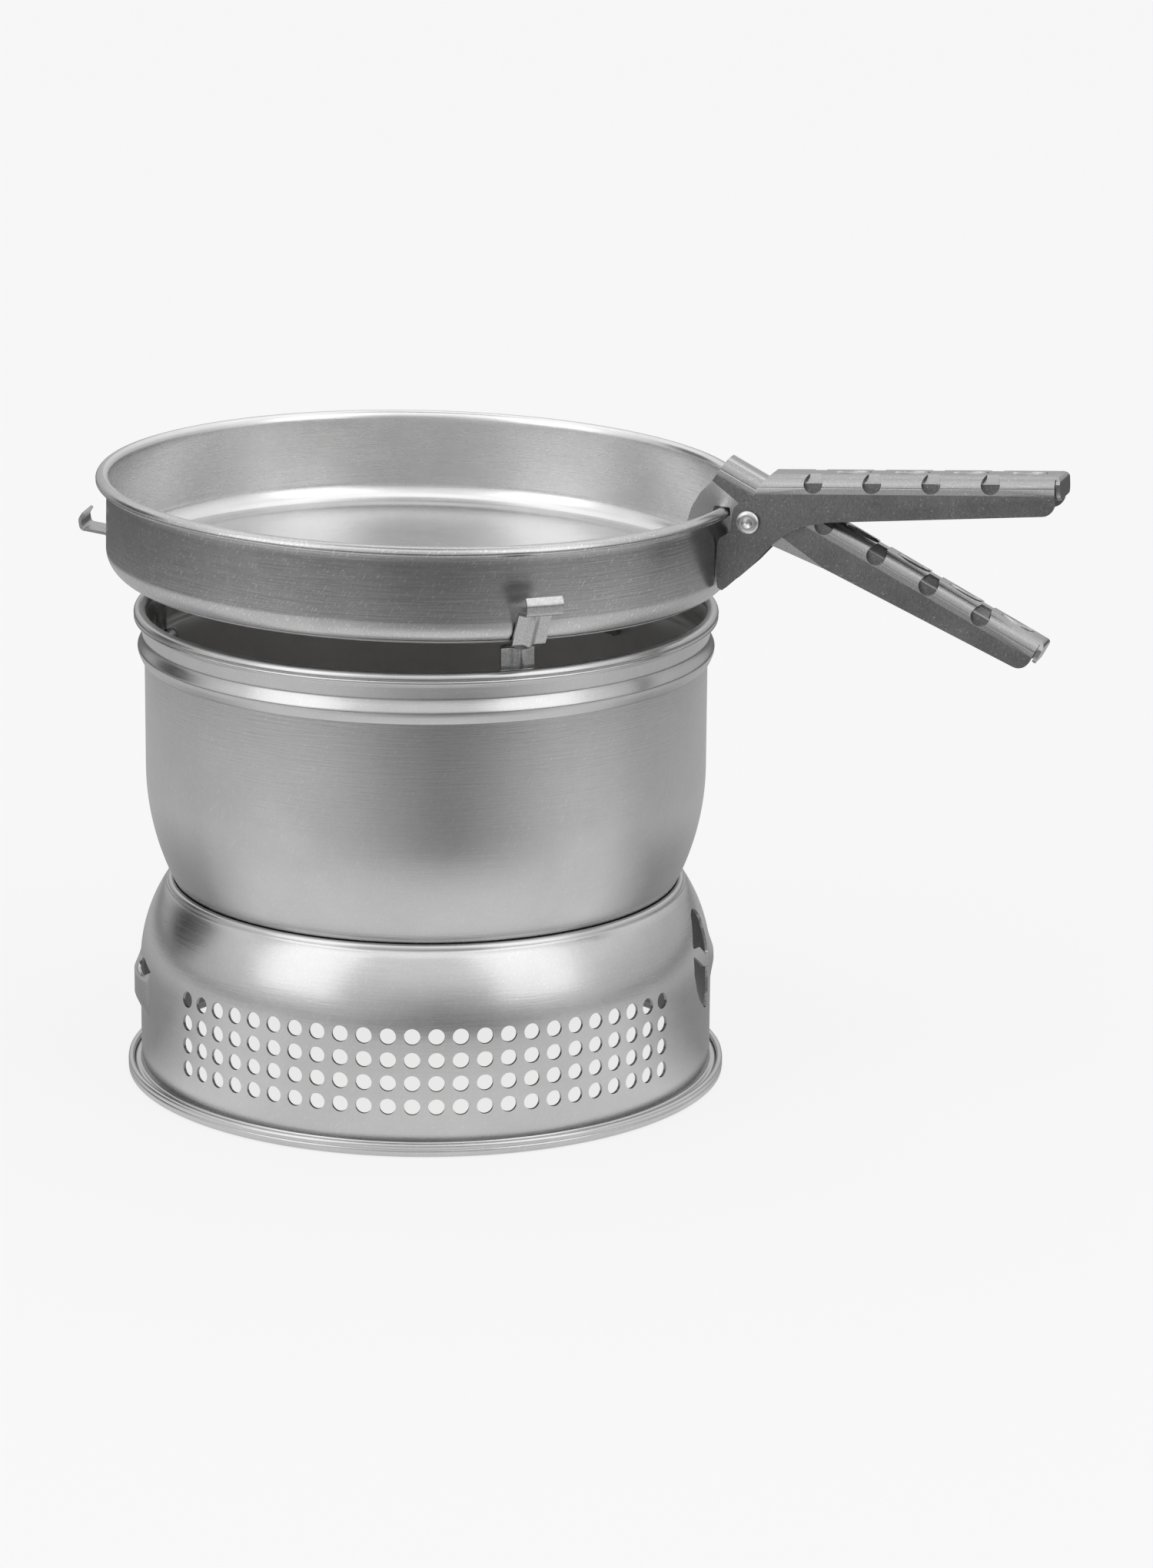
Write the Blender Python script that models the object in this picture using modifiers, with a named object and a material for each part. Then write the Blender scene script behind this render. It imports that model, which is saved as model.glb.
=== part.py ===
"""Camp stove cook set: spirit burner stand, wind shield, frying pan and pan gripper.

Units are metres with +Z up. The set stands on the ground at z = 0. All lengths below
are written in millimetres and turned to metres by mm(). Azimuths are degrees about the
stove's axis, counted from the front (-Y) towards the right (+X).
"""
import math

import bmesh
import bpy
from mathutils import Matrix, Vector


def mm(value):
    """Millimetres to metres."""
    return value * 0.001


# The stove's axis, so that the origin is the middle of the whole set's footprint
STOVE_X = mm(-46.0)
STOVE_Y = mm(2.8)

# Shared build values
SHEET = 1.0            # aluminium sheet thickness
STRIP = 1.0            # steel strip thickness
GAP = 0.3              # gap left between touching pieces
STEPS = 40             # facets round each large turned piece

# Lower windshield (the base)
BASE_WALL_R = 97.7     # middle of the sheet
FOOT_LIP_R = 102.3
FOOT_LIP_TOP = 5.2
SHOULDER_Z = 38.0      # where the wall starts to curve in
SHOULDER_RADIUS = 51.0
NECK_Z = 67.9          # where the shoulder meets the folded neck
FLOOR_Z = 58.4         # middle of the burner shelf's sheet, and of the collar's flange
FLANGE_INNER_R = 75.4  # the collar's flange, which the shelf is riveted up under
FLANGE_BEND_R = 80.3
SHELF_OUTER_R = 79.6
SEAT_R = 35.3          # edge of the hole that the burner hangs in
HOLE_COLUMNS = 24
HOLE_ROWS = (16.2, 24.3, 32.3, 40.4)
HOLE_PITCH_DEG = 4.72
HOLE_R = 2.6
AIR_HOLES = 8
AIR_HOLE_R = 8.0
AIR_RING_R = 58.0
SIDE_OPENING_AZ = 81.0
LOUVRE_AZ = -84.0

# Upper windshield
BOWL_WALL_R = 95.15
BOWL_Z = 107.95        # where the wall starts to curve in
BOWL_RADIUS = 86.8
BOWL_BOTTOM_Z = 60.4
RIB_Z = 149.2
RIB_OUT = 2.15
RIM_Z = 161.45
RIM_R = 97.05
RIM_CURL = 1.7

# Frying pan, in its own frame with the underside at z = 0
PAN_WALL_R = 105.8
PAN_CORNER = 10.5
PAN_RIM_R = 108.25
PAN_RIM_Z = 31.9
PAN_CURL = 1.3
PAN_X = -2.1
PAN_Z = 174.2
PAN_TILT_DEG = 1.05    # the gripper's weight draws the right side down

# Pot supports
SUPPORT_AZ = (18.8, 138.8, -101.2)
SUPPORT_DROP = (0.0, 0.0, 2.0)
SUPPORT_WIDTH = 11.4
SUPPORT_RIB = 1.2
PIN_R_FROM_AXIS = 90.9
PIN_Z = 148.2
PIN_RADIUS = 0.9
KNUCKLE_RADIUS = 1.85
STRAP_R = PIN_R_FROM_AXIS + KNUCKLE_RADIUS

# Pan gripper
GRIP_AZ = 71.6
GRIP_RIVET_U = 117.3   # rivet's distance from the pan's axis
GRIP_RIVET_Z = 202.5
UPPER_RISE_DEG = 4.1
LOWER_DROP_DEG = 26.5
GRIP_HALF = 8.5        # half the upper channel's width
LOWER_HALF = 6.9       # half the lower channel's width
GRIP_SHEET = 1.2
UPPER_TOP = 14.7       # top of the upper channel above the rivet
LOWER_TOP = 13.0
HOLE_FIRST = 22.5      # first of the row of holes in a handle's bend
HOLE_STEP = 19.95
GRIP_HOLES = 4

# Burner
BURNER_BOTTOM = 29.6
BURNER_R = 33.4
BURNER_TOP_R = 36.2
BURNER_SHOULDER_Z = 59.7
BURNER_TOP = 70.0
BURNER_STEPS = 30


def new_material(name, colour, roughness, metallic):
    """A plain Principled material."""
    material = bpy.data.materials.new(name)
    material.use_nodes = True
    shader = material.node_tree.nodes["Principled BSDF"]
    shader.inputs["Base Color"].default_value = (*colour, 1.0)
    shader.inputs["Roughness"].default_value = roughness
    shader.inputs["Metallic"].default_value = metallic
    return material


def clear_scene():
    """Remove every object that the file starts with."""
    for item in list(bpy.data.objects):
        bpy.data.objects.remove(item, do_unlink=True)


def link(item, collection, parent=None):
    collection.objects.link(item)
    if parent is not None:
        item.parent = parent
    return item


def empty(name, parent, location=(0, 0, 0), rotation=(0, 0, 0)):
    """An empty that carries a moving group or marks a joint."""
    item = bpy.data.objects.new(name, None)
    item.empty_display_size = 0.01
    item.location = location
    item.rotation_euler = rotation
    return link(item, PARTS, parent)


def finish(item, material, parent, smooth=35.0):
    """Give a piece its material and parent, and shade it smooth with sharp edges."""
    item.data.materials.clear()
    item.data.materials.append(material)
    item.data.shade_smooth()
    item.data.set_sharp_from_angle(angle=math.radians(smooth))
    item.parent = parent
    return item


def arc(centre_r, centre_z, radius, start_deg, end_deg, count):
    """Points along an arc in the profile plane, in millimetres."""
    points = []
    for i in range(count + 1):
        angle = math.radians(start_deg + (end_deg - start_deg) * i / count)
        points.append((centre_r + radius * math.cos(angle), centre_z + radius * math.sin(angle)))
    return points


def turned(name, profile, steps=STEPS, thickness=None, closed=False):
    """Spin a profile of (radius, z) points in millimetres about Z with a Screw modifier.

    With a thickness, the profile is the middle of a sheet and Solidify gives it its walls.
    """
    mesh = bpy.data.meshes.new(name)
    build = bmesh.new()
    verts = [build.verts.new((mm(r), 0, mm(z))) for r, z in profile]
    for first, second in zip(verts, verts[1:]):
        build.edges.new((first, second))
    if closed:
        build.edges.new((verts[-1], verts[0]))
    build.to_mesh(mesh)
    build.free()
    item = link(bpy.data.objects.new(name, mesh), PARTS)
    screw = item.modifiers.new("Spin", "SCREW")
    screw.steps = steps
    screw.render_steps = steps
    screw.use_merge_vertices = True
    screw.merge_threshold = 0.00001
    if thickness:
        wall = item.modifiers.new("Sheet", "SOLIDIFY")
        wall.thickness = mm(thickness)
        wall.offset = 0
        wall.use_even_offset = True
    return item


def plate(name, outline, half_width, collection=None):
    """A flat outline of (x, z) points in millimetres, extruded along Y to both sides."""
    curve = bpy.data.curves.new(name + "_outline", "CURVE")
    curve.dimensions = "2D"
    curve.fill_mode = "BOTH"
    curve.extrude = mm(half_width)
    spline = curve.splines.new("POLY")
    spline.points.add(len(outline) - 1)
    for point, (x, z) in zip(spline.points, outline):
        point.co = (mm(x), mm(z), 0, 1)
    spline.use_cyclic_u = True
    source = bpy.data.objects.new(name + "_outline", curve)
    PARTS.objects.link(source)
    bpy.context.view_layer.update()
    graph = bpy.context.evaluated_depsgraph_get()
    mesh = bpy.data.meshes.new_from_object(source.evaluated_get(graph))
    bpy.data.objects.remove(source, do_unlink=True)
    build = bmesh.new()
    build.from_mesh(mesh)
    bmesh.ops.remove_doubles(build, verts=build.verts, dist=0.00001)
    bmesh.ops.rotate(build, verts=build.verts, matrix=Matrix.Rotation(math.pi / 2, 3, "X"))
    bmesh.ops.recalc_face_normals(build, faces=build.faces)
    build.to_mesh(mesh)
    build.free()
    mesh.name = name
    item = bpy.data.objects.new(name, mesh)
    return link(item, collection or PARTS)


def cutter(name, shapes, parent=None):
    """One hidden cutter mesh made of bmesh primitives; shapes is a list of callables."""
    mesh = bpy.data.meshes.new(name)
    build = bmesh.new()
    for shape in shapes:
        shape(build)
    build.to_mesh(mesh)
    build.free()
    item = link(bpy.data.objects.new(name, mesh), CUTTERS, parent)
    hide_cutter(item)
    return item


def hide_cutter(item):
    item.hide_render = True
    item.display_type = "WIRE"


def box_shape(low, high, place=None):
    """A box between two corners in millimetres, optionally moved by a matrix."""
    def add(build):
        centre = [(a + b) / 2 for a, b in zip(low, high)]
        size = [b - a for a, b in zip(low, high)]
        matrix = Matrix.Translation([mm(c) for c in centre]) @ Matrix.Diagonal([mm(s) for s in size] + [1])
        bmesh.ops.create_cube(build, size=1.0, matrix=(place or Matrix()) @ matrix)
    return add


def drill_shape(start, end, radius, sides, place=None, roll_deg=0.0):
    """A round bar from start to end in millimetres; the radius is that of its flats."""
    def add(build):
        a = Vector([mm(v) for v in start])
        b = Vector([mm(v) for v in end])
        turn = (b - a).to_track_quat("Z", "Y").to_matrix().to_4x4()
        matrix = Matrix.Translation((a + b) / 2) @ turn @ Matrix.Rotation(math.radians(roll_deg), 4, "Z")
        corner = mm(radius) / math.cos(math.pi / sides)
        bmesh.ops.create_cone(build, cap_ends=True, segments=sides, radius1=corner, radius2=corner,
                              depth=(b - a).length, matrix=(place or Matrix()) @ matrix)
    return add


def around(azimuth_deg):
    """Turn a shape made in the radial plane (+X outward) to an azimuth."""
    return Matrix.Rotation(math.radians(azimuth_deg - 90.0), 4, "Z")


def cut(item, tool, operation="DIFFERENCE"):
    change = item.modifiers.new(operation.title() + " " + tool.name, "BOOLEAN")
    change.operation = operation
    change.object = tool
    change.solver = "EXACT"


def bowl_radius(z, offset=0.0):
    """Radius of the upper windshield's sheet at a height within its curved bottom."""
    radius = BOWL_RADIUS + offset
    centre = BOWL_WALL_R - BOWL_RADIUS
    return centre + math.sqrt(radius ** 2 - (BOWL_Z - z) ** 2)


def base_profile():
    """Middle line of the lower windshield's sheet, from the foot lip to the collar's flange."""
    centre = BASE_WALL_R - SHOULDER_RADIUS
    end_deg = math.degrees(math.asin((NECK_Z - SHOULDER_Z) / SHOULDER_RADIUS))
    foot = [(FOOT_LIP_R, FOOT_LIP_TOP), (FOOT_LIP_R, 1.5), (FOOT_LIP_R - 1.0, SHEET / 2),
            (BASE_WALL_R + 1.0, SHEET / 2), (BASE_WALL_R, 1.5)]
    shoulder = arc(centre, SHOULDER_Z, SHOULDER_RADIUS, 0, end_deg, 5)
    collar_gap = SHEET + GAP
    inner_top = bowl_radius(NECK_Z, collar_gap)
    neck = [((shoulder[-1][0] + inner_top) / 2, NECK_Z + 0.85)]
    collar = [(bowl_radius(z, collar_gap), z) for z in (NECK_Z, 63.8, FLOOR_Z + 1.2)]
    flange = [(FLANGE_BEND_R, FLOOR_Z), (FLANGE_INNER_R, FLOOR_Z)]
    return foot + shoulder + neck + collar + flange


def make_lower_windshield(material, parent):
    """Base with its perforated field, side opening, strap louvre and inner collar."""
    item = turned("lower_windshield", base_profile(), thickness=SHEET)
    holes = []
    first = -HOLE_PITCH_DEG * (HOLE_COLUMNS - 1) / 2
    for column in range(HOLE_COLUMNS):
        place = around(first + HOLE_PITCH_DEG * column)
        for z in HOLE_ROWS:
            holes.append(drill_shape((92, 0, z), (103, 0, z), HOLE_R, 6, place, 30))
    cut(item, cutter("hole_field", holes, item))
    opening = side_opening_cutter()
    opening.parent = item
    cut(item, opening)
    lug = louvre_shell()
    lug.parent = item
    cut(item, lug, "UNION")
    slot = cutter("louvre_slot", [louvre_slot_box()], item)
    cut(item, slot)
    return finish(item, material, parent)


def make_burner_shelf(material, parent):
    """Flat shelf with air holes and the burner's seat; its joggled edge lies under the flange."""
    low = FLOOR_Z - SHEET - GAP
    line = [(SHELF_OUTER_R, low), (FLANGE_INNER_R - 1.2, low), (FLANGE_INNER_R - 2.6, FLOOR_Z),
            (AIR_RING_R + AIR_HOLE_R + 3, FLOOR_Z), (AIR_RING_R - AIR_HOLE_R - 3, FLOOR_Z), (SEAT_R, FLOOR_Z)]
    item = turned("burner_shelf", line, thickness=SHEET)
    air = [drill_shape((AIR_RING_R, 0, FLOOR_Z - 4), (AIR_RING_R, 0, FLOOR_Z + 4), AIR_HOLE_R, 10,
                       Matrix.Rotation(math.tau * i / AIR_HOLES, 4, "Z")) for i in range(AIR_HOLES)]
    cut(item, cutter("air_holes", air, item))
    return finish(item, material, parent)


def side_opening_cutter():
    """Tapered opening in two lobes, with a narrow diagonal bridge of sheet between them."""
    upper = [(-17, 14), (-11, 22), (0, 26), (11, 22), (17, 12), (16, 3), (-17, 10)]
    lower = [(-17, 7.2), (16, 0.2), (13, -6), (4, -13), (-4, -13), (-13, -5)]
    middle_z = 40.0
    build = bmesh.new()
    for index, outline in enumerate((upper, lower)):
        lobe = plate("opening_lobe_%d" % index, outline, 12.0, CUTTERS)
        lobe.data.transform(Matrix.Translation((0, mm(-96), mm(middle_z))))
        build.from_mesh(lobe.data)
        bpy.data.objects.remove(lobe, do_unlink=True)
    mesh = bpy.data.meshes.new("side_opening")
    build.to_mesh(mesh)
    build.free()
    mesh.transform(Matrix.Rotation(math.radians(SIDE_OPENING_AZ), 4, "Z"))
    item = link(bpy.data.objects.new("side_opening", mesh), CUTTERS)
    hide_cutter(item)
    return item


def louvre_shell():
    """Solid of the pressed-out strap louvre, before its slot is cut."""
    outline = [(96.6, 27.0), (98.4, 28.0), (100.4, 33.0), (100.4, 41.0), (98.4, 45.0), (96.6, 46.0)]
    item = plate("louvre_bulge", outline, 5.0, CUTTERS)
    item.data.transform(around(LOUVRE_AZ))
    hide_cutter(item)
    return item


def louvre_slot_box():
    """Slot that opens the louvre at the side which faces the front."""
    return box_shape((94.0, -4.0, 34.0), (99.3, 7.0, 40.5), around(LOUVRE_AZ))


def upper_profile():
    """Middle line of the upper windshield's sheet, from its bottom edge to the rolled rim."""
    start = -math.degrees(math.asin((BOWL_Z - BOWL_BOTTOM_Z) / BOWL_RADIUS))
    bowl = arc(BOWL_WALL_R - BOWL_RADIUS, BOWL_Z, BOWL_RADIUS, start, 0, 5)
    rib = [(BOWL_WALL_R, 142.0), (BOWL_WALL_R + 0.7, 145.0), (BOWL_WALL_R + RIB_OUT - 0.3, RIB_Z - 1.8),
           (BOWL_WALL_R + RIB_OUT, RIB_Z), (BOWL_WALL_R + RIB_OUT - 0.5, RIB_Z + 2.4), (96.1, 154.0)]
    curl = arc(RIM_R, RIM_Z, RIM_CURL, 190, -70, 5)
    return bowl + rib + curl


def make_upper_windshield(material, parent):
    item = turned("upper_windshield", upper_profile(), thickness=SHEET)
    return finish(item, material, parent)


def pan_profile():
    """Middle line of the frying pan's sheet, from the middle of its floor to the rolled rim."""
    base = SHEET / 2
    corner = arc(PAN_WALL_R - PAN_CORNER, base + PAN_CORNER, PAN_CORNER, -90, 0, 4)
    wall = [(PAN_WALL_R, PAN_RIM_Z - 5.0)]
    curl = arc(PAN_RIM_R, PAN_RIM_Z, PAN_CURL, 190, -90, 5)
    return [(0, base), (70, base)] + corner + wall + curl


def make_frying_pan(material, parent):
    item = turned("frying_pan", pan_profile(), thickness=SHEET)
    return finish(item, material, parent)


def support_path():
    """Side view of a pot support as (radius, z): knuckle, strap, ledge, arm and hook."""
    knuckle = arc(PIN_R_FROM_AXIS, PIN_Z, KNUCKLE_RADIUS, -290, 0, 8)
    strap = [(STRAP_R, PIN_Z + 6), (STRAP_R, 169.6)]
    ledge = [(94.2, 171.6), (103.3, 174.0)]
    arm = [(104.6, 175.2), (109.8, 185.0)]
    hook = [(111.4, 186.0), (118.3, 186.9), (119.7, 188.2), (119.3, 190.6), (118.0, 192.6)]
    return knuckle + strap + ledge + arm + hook


def path_normals(path):
    """Unit normals of a path, turned a quarter to the right of its direction."""
    normals = []
    for i, _ in enumerate(path):
        before = path[max(i - 1, 0)]
        after = path[min(i + 1, len(path) - 1)]
        step = Vector((after[0] - before[0], after[1] - before[1])).normalized()
        normals.append(Vector((step.y, -step.x)))
    return normals


def make_pot_support(name, material, parent):
    """Ridged steel strip: a grid shaped along the path, thickened by Solidify."""
    path = support_path()
    normals = path_normals(path)
    first_ridged = 10
    last_ridged = len(path) - 6
    mesh = bpy.data.meshes.new(name)
    build = bmesh.new()
    bmesh.ops.create_grid(build, x_segments=len(path) - 1, y_segments=4, size=1.0)
    for vert in build.verts:
        i = round((vert.co.x + 1) / 2 * (len(path) - 1))
        across = vert.co.y
        ridge = SUPPORT_RIB if abs(across) < 0.1 and first_ridged <= i <= last_ridged else 0.0
        side = math.copysign(0.3, across) if 0.1 < abs(across) < 0.9 else across
        place = Vector(path[i]) + normals[i] * ridge
        vert.co = (mm(place.x - PIN_R_FROM_AXIS), mm(side * SUPPORT_WIDTH / 2), mm(place.y - PIN_Z))
    bmesh.ops.recalc_face_normals(build, faces=build.faces)
    build.to_mesh(mesh)
    build.free()
    item = link(bpy.data.objects.new(name, mesh), PARTS)
    wall = item.modifiers.new("Strip", "SOLIDIFY")
    wall.thickness = mm(STRIP)
    wall.offset = 0
    wall.use_even_offset = True
    return finish(item, material, parent)


def make_bracket(name, material, parent):
    """Channel clip inside the wall, whose two ears carry the hinge pin."""
    outline = [(93.75, 136.5), (93.75, 144.6), (92.6, 150.4), (89.2, 150.6), (88.4, 147.0), (91.4, 136.5)]
    local = [(r - PIN_R_FROM_AXIS, z - PIN_Z) for r, z in outline]
    item = plate(name, local, 7.2)
    inner = box_shape((-12, -6.3, -14), (1.9, 6.3, 6))
    knuckle_room = box_shape((-12, -6.3, -3.2), (6, 6.3, 6))
    pin_hole = drill_shape((0, -9, 0), (0, 9, 0), PIN_RADIUS + GAP, 12)
    for index, shape in enumerate((inner, knuckle_room, pin_hole)):
        cut(item, cutter("%s_cut_%d" % (name, index), [shape], item))
    return finish(item, material, parent)


def headed_pin(name, radius, half_length, head_radius, head_height, sides, material, parent):
    """A pin along Y with a low domed head on each end."""
    end = half_length + head_height
    profile = [(0, end), (head_radius * 0.6, end - head_height * 0.15),
               (head_radius, end - head_height * 0.7), (head_radius, half_length), (radius, half_length)]
    mirrored = [(r, -z) for r, z in reversed(profile)]
    item = turned(name, profile + mirrored, steps=sides)
    item.rotation_euler = (math.pi / 2, 0, 0)
    return finish(item, material, parent)


def channel_section(name, half_width, top, bend, length, depth):
    """Long bar with a rounded-top section, used to round a handle's two bends."""
    section = [(-half_width, -depth), (half_width, -depth)]
    for x, z in arc(half_width - bend, top - bend, bend, 0, 90, 3):
        section.append((x, z))
    for x, z in arc(-(half_width - bend), top - bend, bend, 90, 180, 3):
        section.append((x, z))
    item = plate(name, section, length / 2, CUTTERS)
    item.data.transform(Matrix.Rotation(math.pi / 2, 4, "Z"))
    item.data.transform(Matrix.Translation((mm(length / 2 - 45), 0, 0)))
    hide_cutter(item)
    return item


def make_handle(name, outline, half_width, top, hole_z, material, parent):
    """Channel handle: outline plate, rounded by one section and hollowed by a smaller one."""
    item = plate(name, outline, half_width + 1)
    outer = channel_section(name + "_section", half_width, top, 5.0, 180, 40)
    inner = channel_section(name + "_hollow", half_width - GRIP_SHEET, top - GRIP_SHEET, 3.8, 184, 44)
    for tool in (outer, inner):
        tool.parent = item
    cut(item, outer, "INTERSECT")
    cut(item, inner)
    drills = [drill_shape((0, -12, 0), (0, 12, 0), 1.9 + GAP, 12)]
    for index in range(GRIP_HOLES):
        x = HOLE_FIRST + HOLE_STEP * index
        for side in (-1, 1):
            y = side * (half_width - 1.5)
            start = (x, y + side * 6, hole_z + 5)
            drills.append(drill_shape(start, (x, y - side * 3, hole_z - 2.5), 3.1, 8))
    cut(item, cutter(name + "_holes", drills, item))
    return finish(item, material, parent)


# Side views of the two handles about the rivet, before they are tilted
UPPER_OUTLINE = [(102.5, 2.1), (48.6, 0.4), (27.0, -0.2), (19.7, -1.3), (13.0, -4.0), (7.3, -8.0),
                 (-1.2, -16.2), (-8.6, -22.2), (-10.4, -23.4), (-11.8, -22.4), (-12.1, -19.0),
                 (-11.2, -8.1), (-10.2, -5.6), (-7.7, -4.2), (-6.2, -2.6), (-5.6, 2.2), (-4.6, 5.0),
                 (-2.2, 6.6), (1.5, 7.3), (2.6, 8.6), (6.6, 15.5), (105.5, 15.5), (105.3, 6.6), (104.6, 3.4)]
LOWER_OUTLINE = [(101.5, 2.6), (60.0, 0.3), (30.0, -1.3), (9.9, -3.6), (4.0, -5.0), (-0.5, -5.0),
                 (-3.4, -3.2), (-4.4, 0.6), (-5.0, 2.6), (-13.2, -1.2), (-10.6, -9.6), (-12.4, -14.8),
                 (-15.4, -15.6), (-18.4, -11.6), (-19.4, -6.0), (-19.0, 0.0), (-17.4, 5.0), (-16.4, 14.0),
                 (105.6, 14.0), (105.2, 6.0), (104.4, 3.6)]


def make_gripper(steel, rivet_steel, parent):
    """Two riveted channel handles that clamp the pan's rolled rim."""
    make_handle("gripper_upper_handle", UPPER_OUTLINE, GRIP_HALF, UPPER_TOP, 11.6, steel,
                empty("gripper_upper_place", parent, rotation=(0, math.radians(-UPPER_RISE_DEG), 0)))
    make_handle("gripper_lower_handle", LOWER_OUTLINE, LOWER_HALF, LOWER_TOP, 10.0, steel,
                empty("gripper_hinge", parent, rotation=(0, math.radians(LOWER_DROP_DEG), 0)))
    headed_pin("gripper_rivet", 1.9, GRIP_HALF + GAP, 3.9, 1.7, 16, rivet_steel, parent)


def make_burner(brass, cotton, parent):
    """Spirit burner: outer vessel, inner cup, wick between them, simmer ring and flap."""
    vessel = [(0, BURNER_BOTTOM), (BURNER_R - 3, BURNER_BOTTOM), (BURNER_R, BURNER_BOTTOM + 3),
              (BURNER_R, BURNER_SHOULDER_Z - 1.2), (BURNER_R + 0.6, BURNER_SHOULDER_Z),
              (BURNER_TOP_R, BURNER_SHOULDER_Z), (BURNER_TOP_R, BURNER_TOP - 2),
              (BURNER_TOP_R - 2, BURNER_TOP), (BURNER_TOP_R - 4.5, BURNER_TOP)]
    finish(turned("burner_body", vessel, steps=BURNER_STEPS, thickness=0.8), brass, parent)
    lip = BURNER_TOP + 0.8 + GAP
    cup = [(BURNER_TOP_R - 2.5, lip), (23.5, lip), (21.5, lip - 2), (21.0, 50), (21.0, BURNER_BOTTOM + 4)]
    finish(turned("burner_inner_cup", cup, steps=BURNER_STEPS, thickness=0.8), brass, parent)
    wick = [(30.5, 62), (30.5, 33), (23.5, 33), (23.5, 62)]
    finish(turned("burner_wick", wick, steps=24, closed=True), cotton, parent)
    place = empty("simmer_ring_place", parent)
    ring_top = lip + 2.4
    skirt = [(BURNER_TOP_R + 0.8 + GAP, BURNER_TOP - 4), (BURNER_TOP_R + 0.8 + GAP, ring_top - 1.2),
             (BURNER_TOP_R - 0.4, ring_top), (12.5, ring_top)]
    ring = turned("simmer_ring", skirt, steps=BURNER_STEPS, thickness=0.8)
    cut(ring, cutter("simmer_pivot_hole", [drill_shape((24, 0, ring_top - 3), (24, 0, ring_top + 3),
                                                       0.9 + GAP, 10)], ring))
    finish(ring, brass, place)
    make_simmer_flap(brass, place, ring_top)


def make_simmer_flap(brass, place, ring_top):
    """Round flap that swings about an upright pivot over the simmer ring's hole."""
    low = ring_top + 0.4 + GAP
    pivot = empty("simmer_flap_pivot", place, (mm(24), 0, 0))
    outline = [(-24 + x, y) for x, y in arc(0, 0, 15, 25, 335, 14)]
    outline += [(3.4, -3.6), (7, -3.6), (14.5, -3.0), (14.5, 3.0), (7, 3.6), (3.4, 3.6)]
    flap = plate("simmer_flap", outline, 0.4)
    flap.data.transform(Matrix.Rotation(-math.pi / 2, 4, "X"))
    flap.data.transform(Matrix.Translation((0, 0, mm(low + 0.4))))
    cut(flap, cutter("flap_hole", [drill_shape((0, 0, low - 3), (0, 0, low + 3), 0.9 + GAP, 10)], flap))
    finish(flap, brass, pivot)
    shaft_low = ring_top - 0.4 - GAP
    shaft_high = low + 0.8 + GAP
    profile = [(0, shaft_high + 0.8), (2.2, shaft_high + 0.8), (2.2, shaft_high), (0.9, shaft_high),
               (0.9, shaft_low), (1.8, shaft_low), (1.8, shaft_low - 0.5), (0, shaft_low - 0.5)]
    rivet = turned("flap_rivet", profile, steps=12)
    rivet.location = (mm(24), 0, 0)
    finish(rivet, brass, place)


def build_cook_set():
    aluminium = new_material("satin_aluminium", (0.62, 0.62, 0.63), 0.32, 1.0)
    steel = new_material("plated_steel", (0.42, 0.42, 0.43), 0.4, 1.0)
    bright_steel = new_material("rivet_steel", (0.6, 0.6, 0.61), 0.28, 1.0)
    brass = new_material("spun_brass", (0.62, 0.47, 0.2), 0.35, 1.0)
    cotton = new_material("wick_cotton", (0.75, 0.72, 0.65), 0.95, 0.0)

    stove = empty("stove", None, (STOVE_X, STOVE_Y, 0))
    make_lower_windshield(aluminium, stove)
    make_burner_shelf(aluminium, stove)
    upper = empty("upper_body", stove)
    make_upper_windshield(aluminium, upper)
    for index, (azimuth, drop) in enumerate(zip(SUPPORT_AZ, SUPPORT_DROP), start=1):
        turn = math.radians(azimuth - 90)
        pin = (mm(PIN_R_FROM_AXIS) * math.cos(turn), mm(PIN_R_FROM_AXIS) * math.sin(turn), mm(PIN_Z - drop))
        place = empty("support_pin_axis_%d" % index, upper, pin, (0, 0, turn))
        make_bracket("support_bracket_%d" % index, steel, place)
        headed_pin("support_pin_%d" % index, PIN_RADIUS, 7.2 + GAP, 1.8, 0.8, 12, bright_steel, place)
        make_pot_support("pot_support_%d" % index, steel, place)
    pan = empty("pan_body", stove, (mm(PAN_X), 0, mm(PAN_Z)), (0, math.radians(PAN_TILT_DEG), 0))
    make_frying_pan(aluminium, pan)
    grip_turn = math.radians(GRIP_AZ - 90)
    grip = empty("gripper_place", stove,
                 (mm(PAN_X + GRIP_RIVET_U * math.cos(grip_turn)), mm(GRIP_RIVET_U * math.sin(grip_turn)),
                  mm(GRIP_RIVET_Z)), (0, 0, grip_turn))
    make_gripper(steel, bright_steel, grip)
    burner = empty("burner_body_place", stove)
    make_burner(brass, cotton, burner)


clear_scene()
PARTS = bpy.data.collections.new("camp_stove_cook_set")
CUTTERS = bpy.data.collections.new("cutters")
for group in (PARTS, CUTTERS):
    bpy.context.scene.collection.children.link(group)
build_cook_set()
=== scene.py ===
"""Looks of the camp stove cook set: spun aluminium windshields and pan, plated steel
pot supports and gripper, brass spirit burner.

Tables hold millimetres, and mm() turns them to metres. Azimuths are degrees about the
stove's axis, counted from the front (-Y) towards the right (+X).
"""
from math import ceil, cos, degrees, dist, exp, hypot, pi, radians, sin, sqrt, tan, tau

import bmesh
import bpy
from mathutils import Matrix, Vector


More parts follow.
